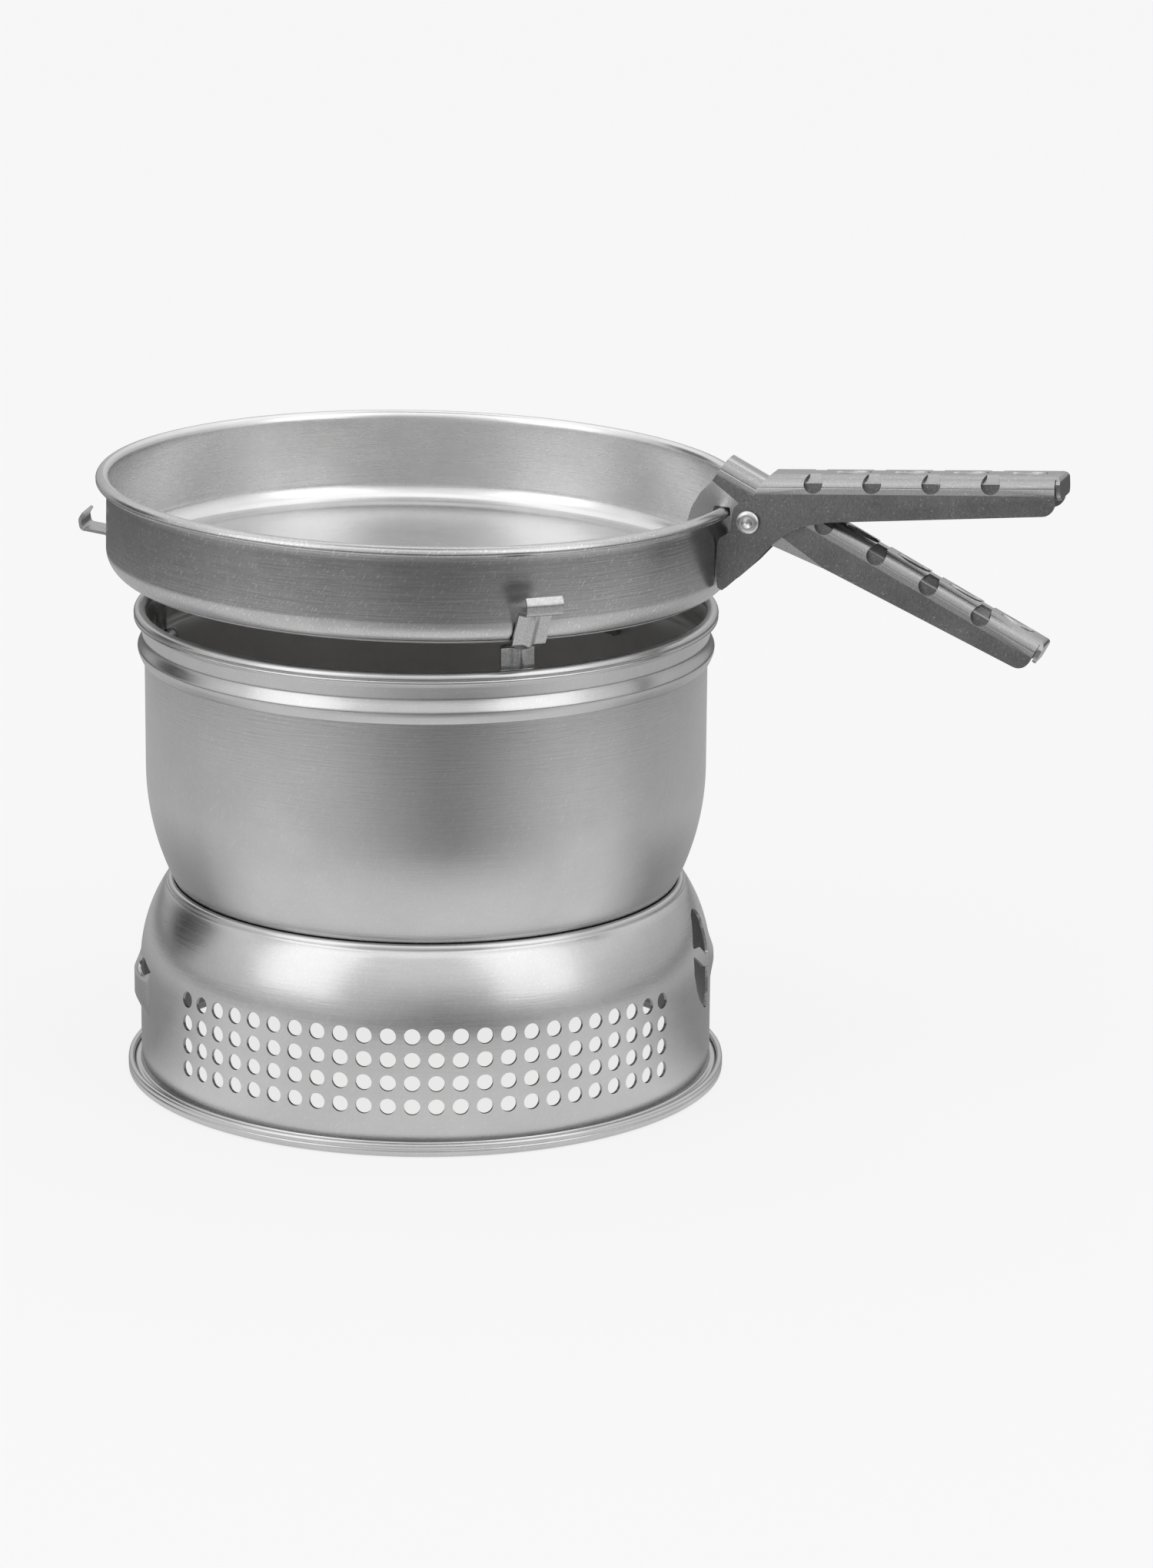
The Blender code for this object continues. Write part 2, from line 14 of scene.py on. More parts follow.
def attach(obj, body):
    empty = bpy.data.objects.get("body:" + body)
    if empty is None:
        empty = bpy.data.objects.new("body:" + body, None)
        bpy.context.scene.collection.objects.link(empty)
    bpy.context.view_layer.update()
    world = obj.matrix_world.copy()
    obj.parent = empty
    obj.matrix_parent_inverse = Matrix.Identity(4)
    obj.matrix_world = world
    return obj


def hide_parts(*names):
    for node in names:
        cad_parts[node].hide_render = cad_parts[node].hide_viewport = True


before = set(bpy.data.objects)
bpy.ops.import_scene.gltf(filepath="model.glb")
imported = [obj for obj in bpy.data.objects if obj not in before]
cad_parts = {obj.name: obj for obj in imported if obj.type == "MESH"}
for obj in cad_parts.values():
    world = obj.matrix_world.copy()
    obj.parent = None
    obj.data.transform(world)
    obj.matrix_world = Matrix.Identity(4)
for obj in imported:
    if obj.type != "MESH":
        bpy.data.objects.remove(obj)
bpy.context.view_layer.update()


def mm(value):
    """Millimetres to metres."""
    return value * 0.001


def move(x, y, z):
    """A move in millimetres, as a matrix."""
    return Matrix.Translation((mm(x), mm(y), mm(z)))


def swing(angle_deg, axis="Z"):
    """A turn about an axis, as a matrix."""
    return Matrix.Rotation(radians(angle_deg), 4, axis)


# Where the pieces stand, as in the solids
STOVE = Vector((mm(-46.0), mm(2.8), 0))
STOVE_PLACE = Matrix.Translation(STOVE)
PAN_SHIFT, PAN_Z, PAN_LEAN = 2.1, 174.2, 1.05      # the pan is off the axis to the left and leans right
PAN_PLACE = STOVE_PLACE @ move(-PAN_SHIFT, 0, PAN_Z) @ swing(PAN_LEAN, "Y")
GRIP_AZIMUTH, RIVET_REACH, RIVET_Z = 71.6, 117.3, 202.5
GRIP_PLACE = STOVE_PLACE @ move(-PAN_SHIFT, 0, RIVET_Z) @ swing(GRIP_AZIMUTH - 90) @ move(RIVET_REACH, 0, 0)


# ---- making shapes

SHARP = radians(32)    # an edge that bends harder shows as sharp


def bent_line(corners, step_deg=8.0, closed=False, sheet=1.0):
    """Round the corners of a line: each is (x, z, bend radius) in millimetres, with a fourth
    number where the thickness is not that of the sheet.
    """
    line = []
    count = len(corners)
    for i, corner in enumerate(corners):
        x, z, bend, thick = (*corner, sheet)[:4]
        if bend == 0 or (not closed and i in (0, count - 1)):
            line.append((x, z, thick))
            continue
        here = Vector((x, z))
        back = (Vector(corners[i - 1][:2]) - here).normalized()
        ahead = (Vector(corners[(i + 1) % count][:2]) - here).normalized()
        turn = pi - back.angle(ahead)
        if turn < 0.01:
            line.append((x, z, thick))
            continue
        side = 1 if back.x * ahead.y - back.y * ahead.x < 0 else -1
        centre = here + (back + ahead).normalized() * bend / cos(turn / 2)
        spoke = here + back * bend * tan(turn / 2) - centre
        steps = max(2, ceil(degrees(turn) / step_deg))
        for k in range(steps + 1):
            angle = side * turn * k / steps
            line.append((centre.x + spoke.x * cos(angle) - spoke.y * sin(angle),
                         centre.y + spoke.x * sin(angle) + spoke.y * cos(angle), thick))
    return line


def rounded_outline(corners, step_deg=12):
    """A closed outline of (x, z) from corners of (x, z, bend radius)."""
    return [(x, z) for x, z, _ in bent_line(corners, step_deg, closed=True)]


def arc(x, z, radius, angles):
    """Points about (x, z), by their angles in degrees."""
    return [(x + radius * cos(radians(a)), z + radius * sin(radians(a))) for a in angles]


def line_normals(line):
    """Unit normals of an open line, a quarter turn to the right of its direction."""
    normals = []
    for i, _ in enumerate(line):
        before, after = line[max(i - 1, 0)], line[min(i + 1, len(line) - 1)]
        step = Vector((after[0] - before[0], after[1] - before[1])).normalized()
        normals.append(Vector((step.y, -step.x)))
    return normals


def put_in(name, data):
    """An object of the scene with this mesh, lamp or camera."""
    item = bpy.data.objects.new(name, data)
    bpy.context.scene.collection.objects.link(item)
    return item


def from_bmesh(name, build):
    """An object with the mesh that was built."""
    mesh = bpy.data.meshes.new(name)
    build.to_mesh(mesh)
    build.free()
    return put_in(name, mesh)


def closed_mesh(name, verts, faces, merge=False):
    """An object from points in metres, with outward faces and sharp edges where it bends hard."""
    mesh = bpy.data.meshes.new(name)
    mesh.from_pydata(verts, [], faces)
    build = bmesh.new()
    build.from_mesh(mesh)
    if merge:
        bmesh.ops.remove_doubles(build, verts=build.verts, dist=1e-7)
    bmesh.ops.recalc_face_normals(build, faces=build.faces)
    build.to_mesh(mesh)
    build.free()
    mesh.shade_smooth()
    mesh.set_sharp_from_angle(angle=SHARP)
    return put_in(name, mesh)


def turned(name, loop, segments):
    """Turn a closed section of (radius, z) in millimetres about Z; points on the axis are poles."""
    verts, rings = [], []
    for r, z in loop:
        if r < 1e-4:
            rings.append([len(verts)] * segments)
            verts.append((0, 0, mm(z)))
            continue
        rings.append([len(verts) + k for k in range(segments)])
        for k in range(segments):
            angle = tau * k / segments
            verts.append((mm(r) * sin(angle), -mm(r) * cos(angle), mm(z)))
    faces = []
    for i, ring in enumerate(rings):
        other = rings[(i + 1) % len(rings)]
        for k in range(segments):
            n = (k + 1) % segments
            face = list(dict.fromkeys((ring[k], ring[n], other[n], other[k])))
            if len(face) > 2:
                faces.append(face)
    return closed_mesh(name, verts, faces)


def sheet_section(line):
    """Closed section of a sheet from its middle line of (radius, z, thickness)."""
    sides = [[], []]
    for (r, z, thick), normal in zip(line, line_normals(line)):
        for side, sign in zip(sides, (1, -1)):
            half = sign * thick / 2
            side.append((0 if r < 1e-4 else r + normal.x * half, z + normal.y * half))
    return sides[0] + sides[1][::-1]


def two_skins(name, faces, place):
    """Thicken an open surface: faces are tuples of keys, place[key] = (point, normal, thickness)."""
    index = {key: i for i, key in enumerate(place)}
    outer = [tuple(p + n * t / 2) for p, n, t in place.values()]
    inner = [tuple(p - n * t / 2) for p, n, t in place.values()]
    shift = len(outer)
    skins, edges = [], {}
    for face in faces:
        ids = [index[key] for key in face]
        skins += [ids, [i + shift for i in reversed(ids)]]
        for a, b in zip(ids, ids[1:] + ids[:1]):
            edge = (min(a, b), max(a, b))
            edges[edge] = None if edge in edges else (a, b)
    rims = [(b, a, a + shift, b + shift) for a, b in filter(None, edges.values())]
    return closed_mesh(name, outer + inner, skins + rims)


def slab(name, outline, half_width):
    """A flat outline of (x, z) in millimetres, with a thickness along Y."""
    count = len(outline)
    verts = [(mm(p[0]), mm(y), mm(p[1])) for y in (-half_width, half_width) for p in outline]
    faces = [list(range(count)), list(range(2 * count - 1, count - 1, -1))]
    faces += [(i, (i + 1) % count, count + (i + 1) % count, count + i) for i in range(count)]
    return closed_mesh(name, verts, faces)


def bar(name, start, end, radius, sides=32):
    """A round bar between two points in millimetres."""
    a, b = Vector(start) * 0.001, Vector(end) * 0.001
    build = bmesh.new()
    turn = (b - a).to_track_quat("Z", "Y").to_matrix().to_4x4()
    bmesh.ops.create_cone(build, cap_ends=True, segments=sides, radius1=mm(radius), radius2=mm(radius),
                          depth=(b - a).length, matrix=Matrix.Translation((a + b) / 2) @ turn)
    return from_bmesh(name, build)


def settle(item):
    """Make the modifiers' result the piece's own mesh."""
    graph = bpy.context.evaluated_depsgraph_get()
    mesh = bpy.data.meshes.new_from_object(item.evaluated_get(graph))
    item.modifiers.clear()
    item.data = mesh
    mesh.shade_smooth()
    mesh.set_sharp_from_angle(angle=SHARP)


def carve(item, tools, operation="DIFFERENCE"):
    """Cut the tools out of a piece (or keep what they share), then throw them away."""
    for tool in tools:
        change = item.modifiers.new("Carve", "BOOLEAN")
        change.operation = operation
        change.solver = "MANIFOLD"
        change.object = tool
    bpy.context.view_layer.update()
    settle(item)
    for tool in tools:
        bpy.data.objects.remove(tool, do_unlink=True)


def soften(item, width, angle_deg=40.0, segments=2, material=-1):
    """Break the sharp edges by a small round, which may take another of the piece's finishes."""
    edge = item.modifiers.new("Edge break", "BEVEL")
    edge.width = mm(width)
    edge.segments = segments
    edge.limit_method = "ANGLE"
    edge.angle_limit = radians(angle_deg)
    edge.use_clamp_overlap = True
    edge.miter_outer = "MITER_ARC"
    edge.material = material
    edge.harden_normals = True


def dress(item, body, slot, node, *materials):
    """Give a piece its finishes, and say what it rides on and stands for."""
    item.data.materials.clear()
    for material in materials:
        item.data.materials.append(material)
    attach(item, body)
    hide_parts(node)


def dress_inside(item):
    """Give the faces of a turned piece that look to its axis its second material, a paler copy painted with
    light.
    """
    for face in item.data.polygons:
        middle, normal = face.center, face.normal
        if middle.x * normal.x + middle.y * normal.y < -0.2 * hypot(middle.x, middle.y):
            face.material_index = 1


# ---- finishes

def colour(code):
    """An sRGB hex code as the linear colour that a socket takes."""
    parts = [int(code[i:i + 2], 16) / 255 for i in (1, 3, 5)]
    return (*[c / 12.92 if c <= 0.04045 else ((c + 0.055) / 1.055) ** 2.4 for c in parts], 1.0)


def fill(item, sockets):
    """Give a node its sockets, by name or number, or in their order: one that is given a node
    (its first open output) or an output is linked, and any other value is set.
    """
    for name, value in enumerate(sockets) if isinstance(sockets, tuple) else sockets.items():
        if isinstance(value, bpy.types.Node):
            value = next(output for output in value.outputs if output.enabled)
        if isinstance(value, bpy.types.NodeSocket):
            item.id_data.links.new(value, item.inputs[name])
        else:
            item.inputs[name].default_value = value


def add(tree, kind, sockets=(), **settings):
    """Add a node with its settings and sockets."""
    item = tree.nodes.new("ShaderNode" + kind)
    for name, value in settings.items():
        setattr(item, name, value)
    fill(item, sockets)
    return item


def empty_material(name):
    """A material with nothing in its node tree."""
    material = bpy.data.materials.new(name)
    material.use_nodes = True
    material.node_tree.nodes.clear()
    return material, material.node_tree


def new_finish(name):
    """A material with its shader, ready for its nodes."""
    material, tree = empty_material(name)
    shader = add(tree, "BsdfPrincipled")
    add(tree, "OutputMaterial", {"Surface": shader.outputs["BSDF"]})
    return material, tree, shader


def finish_metal(tree, shader, tone, rough, relief, groove, depth, metallic=1.0):
    """Give the shader a metal's tone, roughness and relief (its depth in millimetres)."""
    bump = add(tree, "Bump", {"Height": relief, "Strength": groove, "Distance": mm(depth)})
    fill(shader, {"Base Color": tone, "Roughness": rough, "Metallic": metallic, "Normal": bump})


def azimuth_of(tree, split):
    """Azimuth in radians of a position split into its parts."""
    front = add(tree, "Math", (split.outputs["Y"], -1.0), operation="MULTIPLY")
    return add(tree, "Math", (split.outputs["X"], front), operation="ARCTAN2")


def lathe_coordinates(tree):
    """Position on a turned piece, with its azimuth, radius and height."""
    place = add(tree, "TexCoord")
    split = add(tree, "SeparateXYZ", {0: place.outputs["Object"]})
    flat = add(tree, "CombineXYZ", {"X": split.outputs["X"], "Y": split.outputs["Y"]})
    radius = add(tree, "VectorMath", {0: flat}, operation="LENGTH")
    return place.outputs["Object"], azimuth_of(tree, split), radius, split.outputs["Z"]


def spun_aluminium(name, light, dark, rough_low, rough_high, groove, scratch, metallic=1.0):
    """Aluminium sheet spun on a lathe and left satin: grey-white metal with fine lines that
    run round the axis, faint cloudy marks from handling and a few thin scratches.
    """
    material, tree, shader = new_finish(name)
    place, angle, radius, height = lathe_coordinates(tree)
    # tool lines are about 0.1 mm apart; drawn 0.7 mm apart so that they show, about 18 mm long
    round_slow = add(tree, "Math", (angle, 0.004), operation="MULTIPLY")
    lines_at = add(tree, "CombineXYZ", {"X": round_slow, "Y": radius, "Z": height})
    lines = add(tree, "TexNoise", {"Vector": lines_at, "Scale": 1400.0, "Detail": 4.0, "Roughness": 0.65})
    # clouds of handling marks, 25 mm across
    clouds = add(tree, "TexNoise", {"Vector": place, "Scale": 38.0, "Detail": 5.0, "Roughness": 0.6})
    # speckle of fine pits, 0.7 mm
    pits = add(tree, "TexNoise", {"Vector": place, "Scale": 1300.0, "Detail": 2.0, "Roughness": 0.7})
    # scratches: thin slanting strokes, 0.2 mm wide and 2 mm long, leaning 60 degrees
    turned_by = add(tree, "Math", (angle, 0.1), operation="MULTIPLY")
    rise = add(tree, "Math", (height, 0.87), operation="MULTIPLY")
    along = add(tree, "Math", (turned_by, 0.5, rise), operation="MULTIPLY_ADD")
    drop = add(tree, "Math", (height, -0.5), operation="MULTIPLY")
    across = add(tree, "Math", (turned_by, 0.87, drop), operation="MULTIPLY_ADD")
    slow = add(tree, "Math", (along, 0.16), operation="MULTIPLY")
    threads_at = add(tree, "CombineXYZ", {"X": across, "Y": slow, "Z": radius})
    threads = add(tree, "TexNoise", {"Vector": threads_at, "Scale": 2400.0, "Detail": 1.0, "Roughness": 0.55})
    thin = add(tree, "MapRange", (threads, 0.6, 0.72))

    shade = add(tree, "MapRange", (clouds, 0.3, 0.7, 0.0, 0.7))
    shade = add(tree, "Math", (lines, 0.45, shade), operation="MULTIPLY_ADD")
    tone = add(tree, "Mix", {0: shade, 6: colour(dark), 7: colour(light)}, data_type="RGBA")
    worn = add(tree, "Math", (thin, scratch), operation="MULTIPLY")
    tone = add(tree, "Mix", {0: worn, 6: tone, 7: colour("#F4F4F4")}, data_type="RGBA")
    rough = add(tree, "Math", (clouds, 0.5, lines), operation="MULTIPLY_ADD")
    rough = add(tree, "MapRange", (rough, 0.45, 1.05, rough_low, rough_high))
    spin = add(tree, "Tangent", direction_type="RADIAL", axis="Z")
    fill(shader, {"Anisotropic": 0.3, "Tangent": spin})
    relief = add(tree, "Math", (pits, 0.35, lines), operation="MULTIPLY_ADD")
    finish_metal(tree, shader, tone, rough, relief, groove, 0.06, metallic)
    return material


def plated_steel(name, light, dark, rough_low, rough_high):
    """Pressed steel sheet with a dull zinc plating: grey with a fine upright speckle from
    rolling, a few brighter flecks, and rubbed scratches.
    """
    material, tree, shader = new_finish(name)
    place = add(tree, "TexCoord").outputs["Object"]
    # rolling speckle, dashes 0.3 mm wide and 1 mm tall
    upright = add(tree, "Mapping", {"Vector": place, "Scale": (1.0, 1.0, 0.3)})
    speckle = add(tree, "TexNoise", {"Vector": upright, "Scale": 3000.0, "Detail": 2.0, "Roughness": 0.6})
    clouds = add(tree, "TexNoise", {"Vector": place, "Scale": 60.0, "Detail": 4.0, "Roughness": 0.6})
    # plating flecks, 0.5 mm, on about one spot in thirty
    flecks = add(tree, "TexNoise", {"Vector": place, "Scale": 1800.0, "Detail": 1.0, "Roughness": 0.5})
    fleck = add(tree, "MapRange", (flecks, 0.66, 0.76, 0.0, 0.5))
    # scratches 0.3 mm wide and 12 mm long, lying level
    level = add(tree, "Mapping", {"Vector": place, "Scale": (0.04, 0.04, 1.0), "Rotation": (0.1, 0.16, 0)})
    threads = add(tree, "TexNoise", {"Vector": level, "Scale": 1300.0, "Detail": 2.0, "Roughness": 0.5})
    thin = add(tree, "MapRange", (threads, 0.69, 0.76, 0.0, 0.4))
    grain = add(tree, "MapRange", (speckle, 0.3, 0.72))
    shade = add(tree, "Math", (clouds, 0.5, grain), operation="MULTIPLY_ADD")
    shade = add(tree, "MapRange", (shade, 0.35, 1.2))
    tone = add(tree, "Mix", {0: shade, 6: colour(dark), 7: colour(light)}, data_type="RGBA")
    bright = add(tree, "Math", (fleck, thin), operation="MAXIMUM")
    tone = add(tree, "Mix", {0: bright, 6: tone, 7: colour("#E4E4E4")}, data_type="RGBA")
    rough = add(tree, "MapRange", (clouds, 0.3, 0.7, rough_low, rough_high))
    finish_metal(tree, shader, tone, rough, grain, 0.2, 0.03)
    return material


def turned_metal(name, light, dark, rough_low, rough_high):
    """Metal turned and left bright, as a rivet's head or a brass burner: rings round the axis
    and a light uneven tarnish.
    """
    material, tree, shader = new_finish(name)
    place, angle, radius, height = lathe_coordinates(tree)
    slow = add(tree, "Math", (angle, 0.003), operation="MULTIPLY")
    lines_at = add(tree, "CombineXYZ", {"X": slow, "Y": radius, "Z": height})
    # turning marks 0.5 mm apart
    lines = add(tree, "TexNoise", {"Vector": lines_at, "Scale": 1800.0, "Detail": 3.0})
    tarnish = add(tree, "TexNoise", {"Vector": place, "Scale": 120.0, "Detail": 4.0, "Roughness": 0.6})
    shade = add(tree, "MapRange", (tarnish, 0.35, 0.7))
    tone = add(tree, "Mix", {0: shade, 6: colour(light), 7: colour(dark)}, data_type="RGBA")
    rough = add(tree, "MapRange", (tarnish, 0.35, 0.7, rough_low, rough_high))
    finish_metal(tree, shader, tone, rough, lines, 0.25, 0.05)
    return material


def wick_cotton():
    """Braided cotton wick: matt yarns wound round, off-white on their crests and brown in the grooves between
    them, following the bump.
    """
    material, tree, shader = new_finish("wick_cotton")
    _, angle, radius, height = lathe_coordinates(tree)
    around = add(tree, "Math", (angle, 0.027), operation="MULTIPLY")
    yarn_at = add(tree, "CombineXYZ", {"X": around, "Y": height, "Z": radius})
    # yarns 2.4 mm apart on a slant
    lean = add(tree, "Mapping", {"Vector": yarn_at, "Rotation": (0, 0, 0.7)})
    yarns = add(tree, "TexWave", {"Vector": lean, "Scale": 130.0, "Distortion": 1.5, "Detail": 2.0})
    # the tone follows the yarns' wave: brown where the bump is low, off-white on the crests
    tone = add(tree, "Mix", {0: yarns.outputs["Fac"], 6: colour("#8E7F66"), 7: colour("#D9CFBC")},
               data_type="RGBA")
    bump = add(tree, "Bump", {"Height": yarns.outputs["Fac"], "Strength": 0.8, "Distance": mm(0.4)})
    fill(shader, {"Base Color": tone, "Roughness": 0.95, "Normal": bump})
    return material


SATIN = spun_aluminium("spun_aluminium_satin", "#C6C6C6", "#B8B8B8", 0.20, 0.29, 0.45, 0.10)
PAN_METAL = spun_aluminium("spun_aluminium_pan", "#C4C4C4", "#B2B2B2", 0.19, 0.28, 0.45, 0.42)
# painted light: inner faces, the burner shelf and the pan's underside take a paler, partly matt copy of the
# aluminium, lighter to stand in for the light that reaches these shaded places
INSIDE = spun_aluminium("spun_aluminium_inside_painted_light", "#EEEEEE", "#DEDEDE", 0.35, 0.5, 0.4, 0.10, metallic=0.72)
# painted light: the pan's inner wall and its floor take paler copies of its aluminium, lighter to stand in
# for the light inside the pan
PAN_INSIDE = spun_aluminium("spun_aluminium_pan_inside_painted_light", "#E4E4E4", "#D6D6D6", 0.22, 0.31, 0.4, 0.10)
PAN_FLOOR = spun_aluminium("spun_aluminium_pan_floor_painted_light", "#D0D0D0", "#BEBEBE", 0.20, 0.29, 0.4, 0.10)
# painted light and shade: the handles' flat sides take a duller, darker copy of the plated steel (painted
# shade), the top and the bends lighter copies (painted light), and the broken edges and the tongue a
# near-white copy (painted highlight)
DULL_SHADED_STEEL = plated_steel("zinc_plated_steel_dull_painted_shade", "#909090", "#7A7A7A", 0.3, 0.42)
HIGHLIGHT_STEEL = plated_steel("zinc_plated_steel_painted_highlight", "#E0E0E0", "#CFCFCF", 0.18, 0.26)
FLAT_STEEL = plated_steel("zinc_plated_steel_flat_painted_light", "#ACACAC", "#9C9C9C", 0.20, 0.28)
BEND_STEEL = plated_steel("zinc_plated_steel_bends_painted_light", "#AEAEAE", "#9E9E9E", 0.28, 0.36)
STRIP_STEEL = plated_steel("zinc_plated_strip", "#C0C0C0", "#A2A2A2", 0.22, 0.34)
RIVET_STEEL = turned_metal("bright_rivet_steel", "#DADADA", "#B5B5B5", 0.22, 0.36)
BRASS = turned_metal("spun_brass", "#D9B667", "#B48A45", 0.24, 0.42)
COTTON = wick_cotton()


# ---- base

WALL_R = 97.7
SHOULDER_Z = 38.0
SHOULDER_R = 51.0
SHOULDER_CENTRE = WALL_R - SHOULDER_R
BOWL_R, BOWL_CENTRE_R, BOWL_CENTRE_Z = 86.8, 8.35, 107.95
HOLE_ROWS = (16.2, 24.3, 32.3, 40.4)
HALF_PITCH = 4.05
HOLE_R = 2.75
COLUMNS, PIERCED = 76, 24    # cells round the wall, and those of them at the front with holes
CELL_DEG = 4.72              # width of a pierced cell
OPENING_AZIMUTH, LOUVRE_MOUTH_AZIMUTH = 81.0, -79.0
CELL_SIDE = 8                # mesh steps along one side of a cell


def shoulder_point(z):
    """Radius and outward normal of the base's wall or shoulder at a height."""
    if z <= SHOULDER_Z:
        return WALL_R, Vector((1, 0))
    lift = (z - SHOULDER_Z) / SHOULDER_R
    reach = sqrt(1 - lift * lift)
    return SHOULDER_CENTRE + SHOULDER_R * reach, Vector((reach, lift))


def bowl_radius(z, offset=0.0):
    """Middle radius of the upper windshield's sheet in its curved bottom."""
    return BOWL_CENTRE_R + sqrt((BOWL_R + offset) ** 2 - (BOWL_CENTRE_Z - z) ** 2)


def base_levels():
    """Middle line of the base's sheet, and the place in it of the pierced field."""
    foot = [(101.7, 4.78, 0.6), (101.7, 4.62, 1.3), (101.7, 4.3, 1.85), (101.7, 3.8, 2.05),
            (101.7, 3.1, 2.1), (101.7, 2.85, 1.7), (101.7, 2.6, 2.05), (101.72, 1.6, 2.05),
            (101.8, 1.05, 1.8), (101.4, 0.66, 1.1), (100.9, 0.55, 1.0)]
    foot += bent_line([(100.85, 0.55, 0), (100.1, 0.55, 0.6), (100.1, 3.1, 0.6), (WALL_R, 3.1, 1.2),
                       (WALL_R, 7.0, 0)])
    foot += [(WALL_R, 9.0, 1.0)]
    bounds = [HOLE_ROWS[0] - HALF_PITCH, *[(a + b) / 2 for a, b in zip(HOLE_ROWS, HOLE_ROWS[1:])],
              HOLE_ROWS[3] + HALF_PITCH]
    field = []
    for low, high in zip(bounds, bounds[1:]):
        field += [low + (high - low) * k / CELL_SIDE for k in range(CELL_SIDE)]
    field.append(bounds[-1])
    first = len(foot)
    levels = foot + [(shoulder_point(z)[0], z, 1.0) for z in field]
    # shoulder, a shallow groove, a rounded lip, then down outside the bowl
    for k in range(1, 15):
        z = field[-1] + (65.9 - field[-1]) * k / 14
        levels.append((shoulder_point(z)[0], z, 1.0))
    neck = [(89.05, 66.3), (88.78, 66.62), (88.6, 66.95), (88.5, 67.3), (88.42, 67.7), (88.25, 68.15),
            (87.95, 68.5), (87.5, 68.66), (87.1, 68.6), (86.88, 68.3)]
    levels += [(r, z, 0.9) for r, z in neck]
    levels += [(bowl_radius(z, 1.15), z, 0.9) for z in (67.7, 66.8, 65.5, 63.8, 62.0, 60.4)]
    levels += [(80.9, 59.2, 1.0), (80.2, 58.5, 1.0), (79.0, 58.4, 1.0), (77.0, 58.4, 1.0), (75.4, 58.4, 1.0)]
    return levels, first, bounds


def column_edges():
    """Azimuths of the cell edges round the wall; the pierced columns come first."""
    plain = (360 - PIERCED * CELL_DEG) / (COLUMNS - PIERCED)
    edges = [-PIERCED / 2 * CELL_DEG + CELL_DEG * c for c in range(PIERCED + 1)]
    return edges + [edges[-1] + plain * (c + 1) for c in range(COLUMNS - PIERCED)]


def louvre_push(azimuth, z):
    """How far the small louvre at the left, and the bump by the opening, stand out of the wall."""
    if azimuth > 0:
        side, rise = (azimuth - 88.0) / 4.5, min((z - 33.0) / 6.0, (47.0 - z) / 4.0)
        return 1.1 * max(0.0, min(1.0, rise)) * max(0.0, 1 - side * side)
    side = (azimuth + 82.0) / 9.0
    rise = min(1.0, (z - 24.0) / 5.0, (41.5 - z) / 4.0)
    return 2.4 * max(0.0, rise) * max(0.0, 1 - side * side) ** 0.75


def on_base(azimuth, r, z, normal, thick):
    """A point of the base's sheet with its normal, in metres."""
    turn = radians(azimuth)
    out = Vector((sin(turn), -cos(turn), 0))
    push = louvre_push(azimuth if azimuth < 180 else azimuth - 360, z) if r > 90 and z < 60 else 0.0
    return (out * mm(r + push) + Vector((0, 0, mm(z))),
            (out * normal.x + Vector((0, 0, normal.y))).normalized(), mm(thick))


def make_base():
    """Lower windshield: one sheet with its round holes, side opening and louvre."""
    levels, first, bounds = base_levels()
    normals = line_normals(levels)
    edges = column_edges()
    azimuths = []
    for low, high in zip(edges, edges[1:]):
        azimuths += [low + (high - low) * k / CELL_SIDE for k in range(CELL_SIDE)]
    around = len(azimuths)
    place, faces = {}, []

    def grid(i, j):
        key = (i % around, j)
        if key not in place:
            r, z, thick = levels[j]
            place[key] = on_base(azimuths[key[0]], r, z, normals[j], thick)
        return key

    field_end = first + len(HOLE_ROWS) * CELL_SIDE
    for j in range(len(levels) - 1):
        for i in range(around):
            if first <= j < field_end and i < PIERCED * CELL_SIDE:
                continue
            faces.append((grid(i, j), grid(i + 1, j), grid(i + 1, j + 1), grid(i, j + 1)))
    for column in range(PIERCED):
        for row in range(len(HOLE_ROWS)):
            faces += pierced_cell(column, row, edges, bounds, first, grid, place)
    item = two_skins("base_shell", faces, place)
    item.location = STOVE
    carve(item, side_opening() + [louvre_mouth()])
    item.data.set_sharp_from_angle(angle=radians(38))
    return item


def pierced_cell(column, row, edges, bounds, first, grid, place):
    """Faces round one round hole: its square border, two rings between, and the hole's edge."""
    i0, j0 = column * CELL_SIDE, first + row * CELL_SIDE
    border = [(i0, j0)]
    for across, up in ((1, 0), (0, 1), (-1, 0), (0, -1)):
        border += [(border[-1][0] + across * k, border[-1][1] + up * k) for k in range(1, CELL_SIDE + 1)]
    border.pop()
    middle = (edges[column] + edges[column + 1]) / 2
    height = HOLE_ROWS[row]
    half_turn = (edges[column + 1] - edges[column]) / 2
    rings = [[grid(i, j) for i, j in border]]
    for share in (0.45, 0.8, 1.0):
        ring = []
        for k, (i, j) in enumerate(border):
            angle = radians(-135 + 360 * k / len(border))
            side_a = -half_turn + 2 * half_turn * (i - i0) / CELL_SIDE
            side_z = bounds[row] + (bounds[row + 1] - bounds[row]) * (j - j0) / CELL_SIDE
            hole_a = degrees(HOLE_R * cos(angle) / (WALL_R + 0.5))
            hole_z = height + HOLE_R * sin(angle)
            z = side_z + (hole_z - side_z) * share
            r, normal = shoulder_point(z)
            key = ("hole", column, row, share, k)
            place[key] = on_base(middle + side_a + (hole_a - side_a) * share, r, z, normal, 1.0)
            ring.append(key)
        rings.append(ring)
    faces = []
    for a, b in zip(rings, rings[1:]):
        for k in range(len(border)):
            n = (k + 1) % len(border)
            faces.append((a[k], a[n], b[n], b[k]))
    return faces


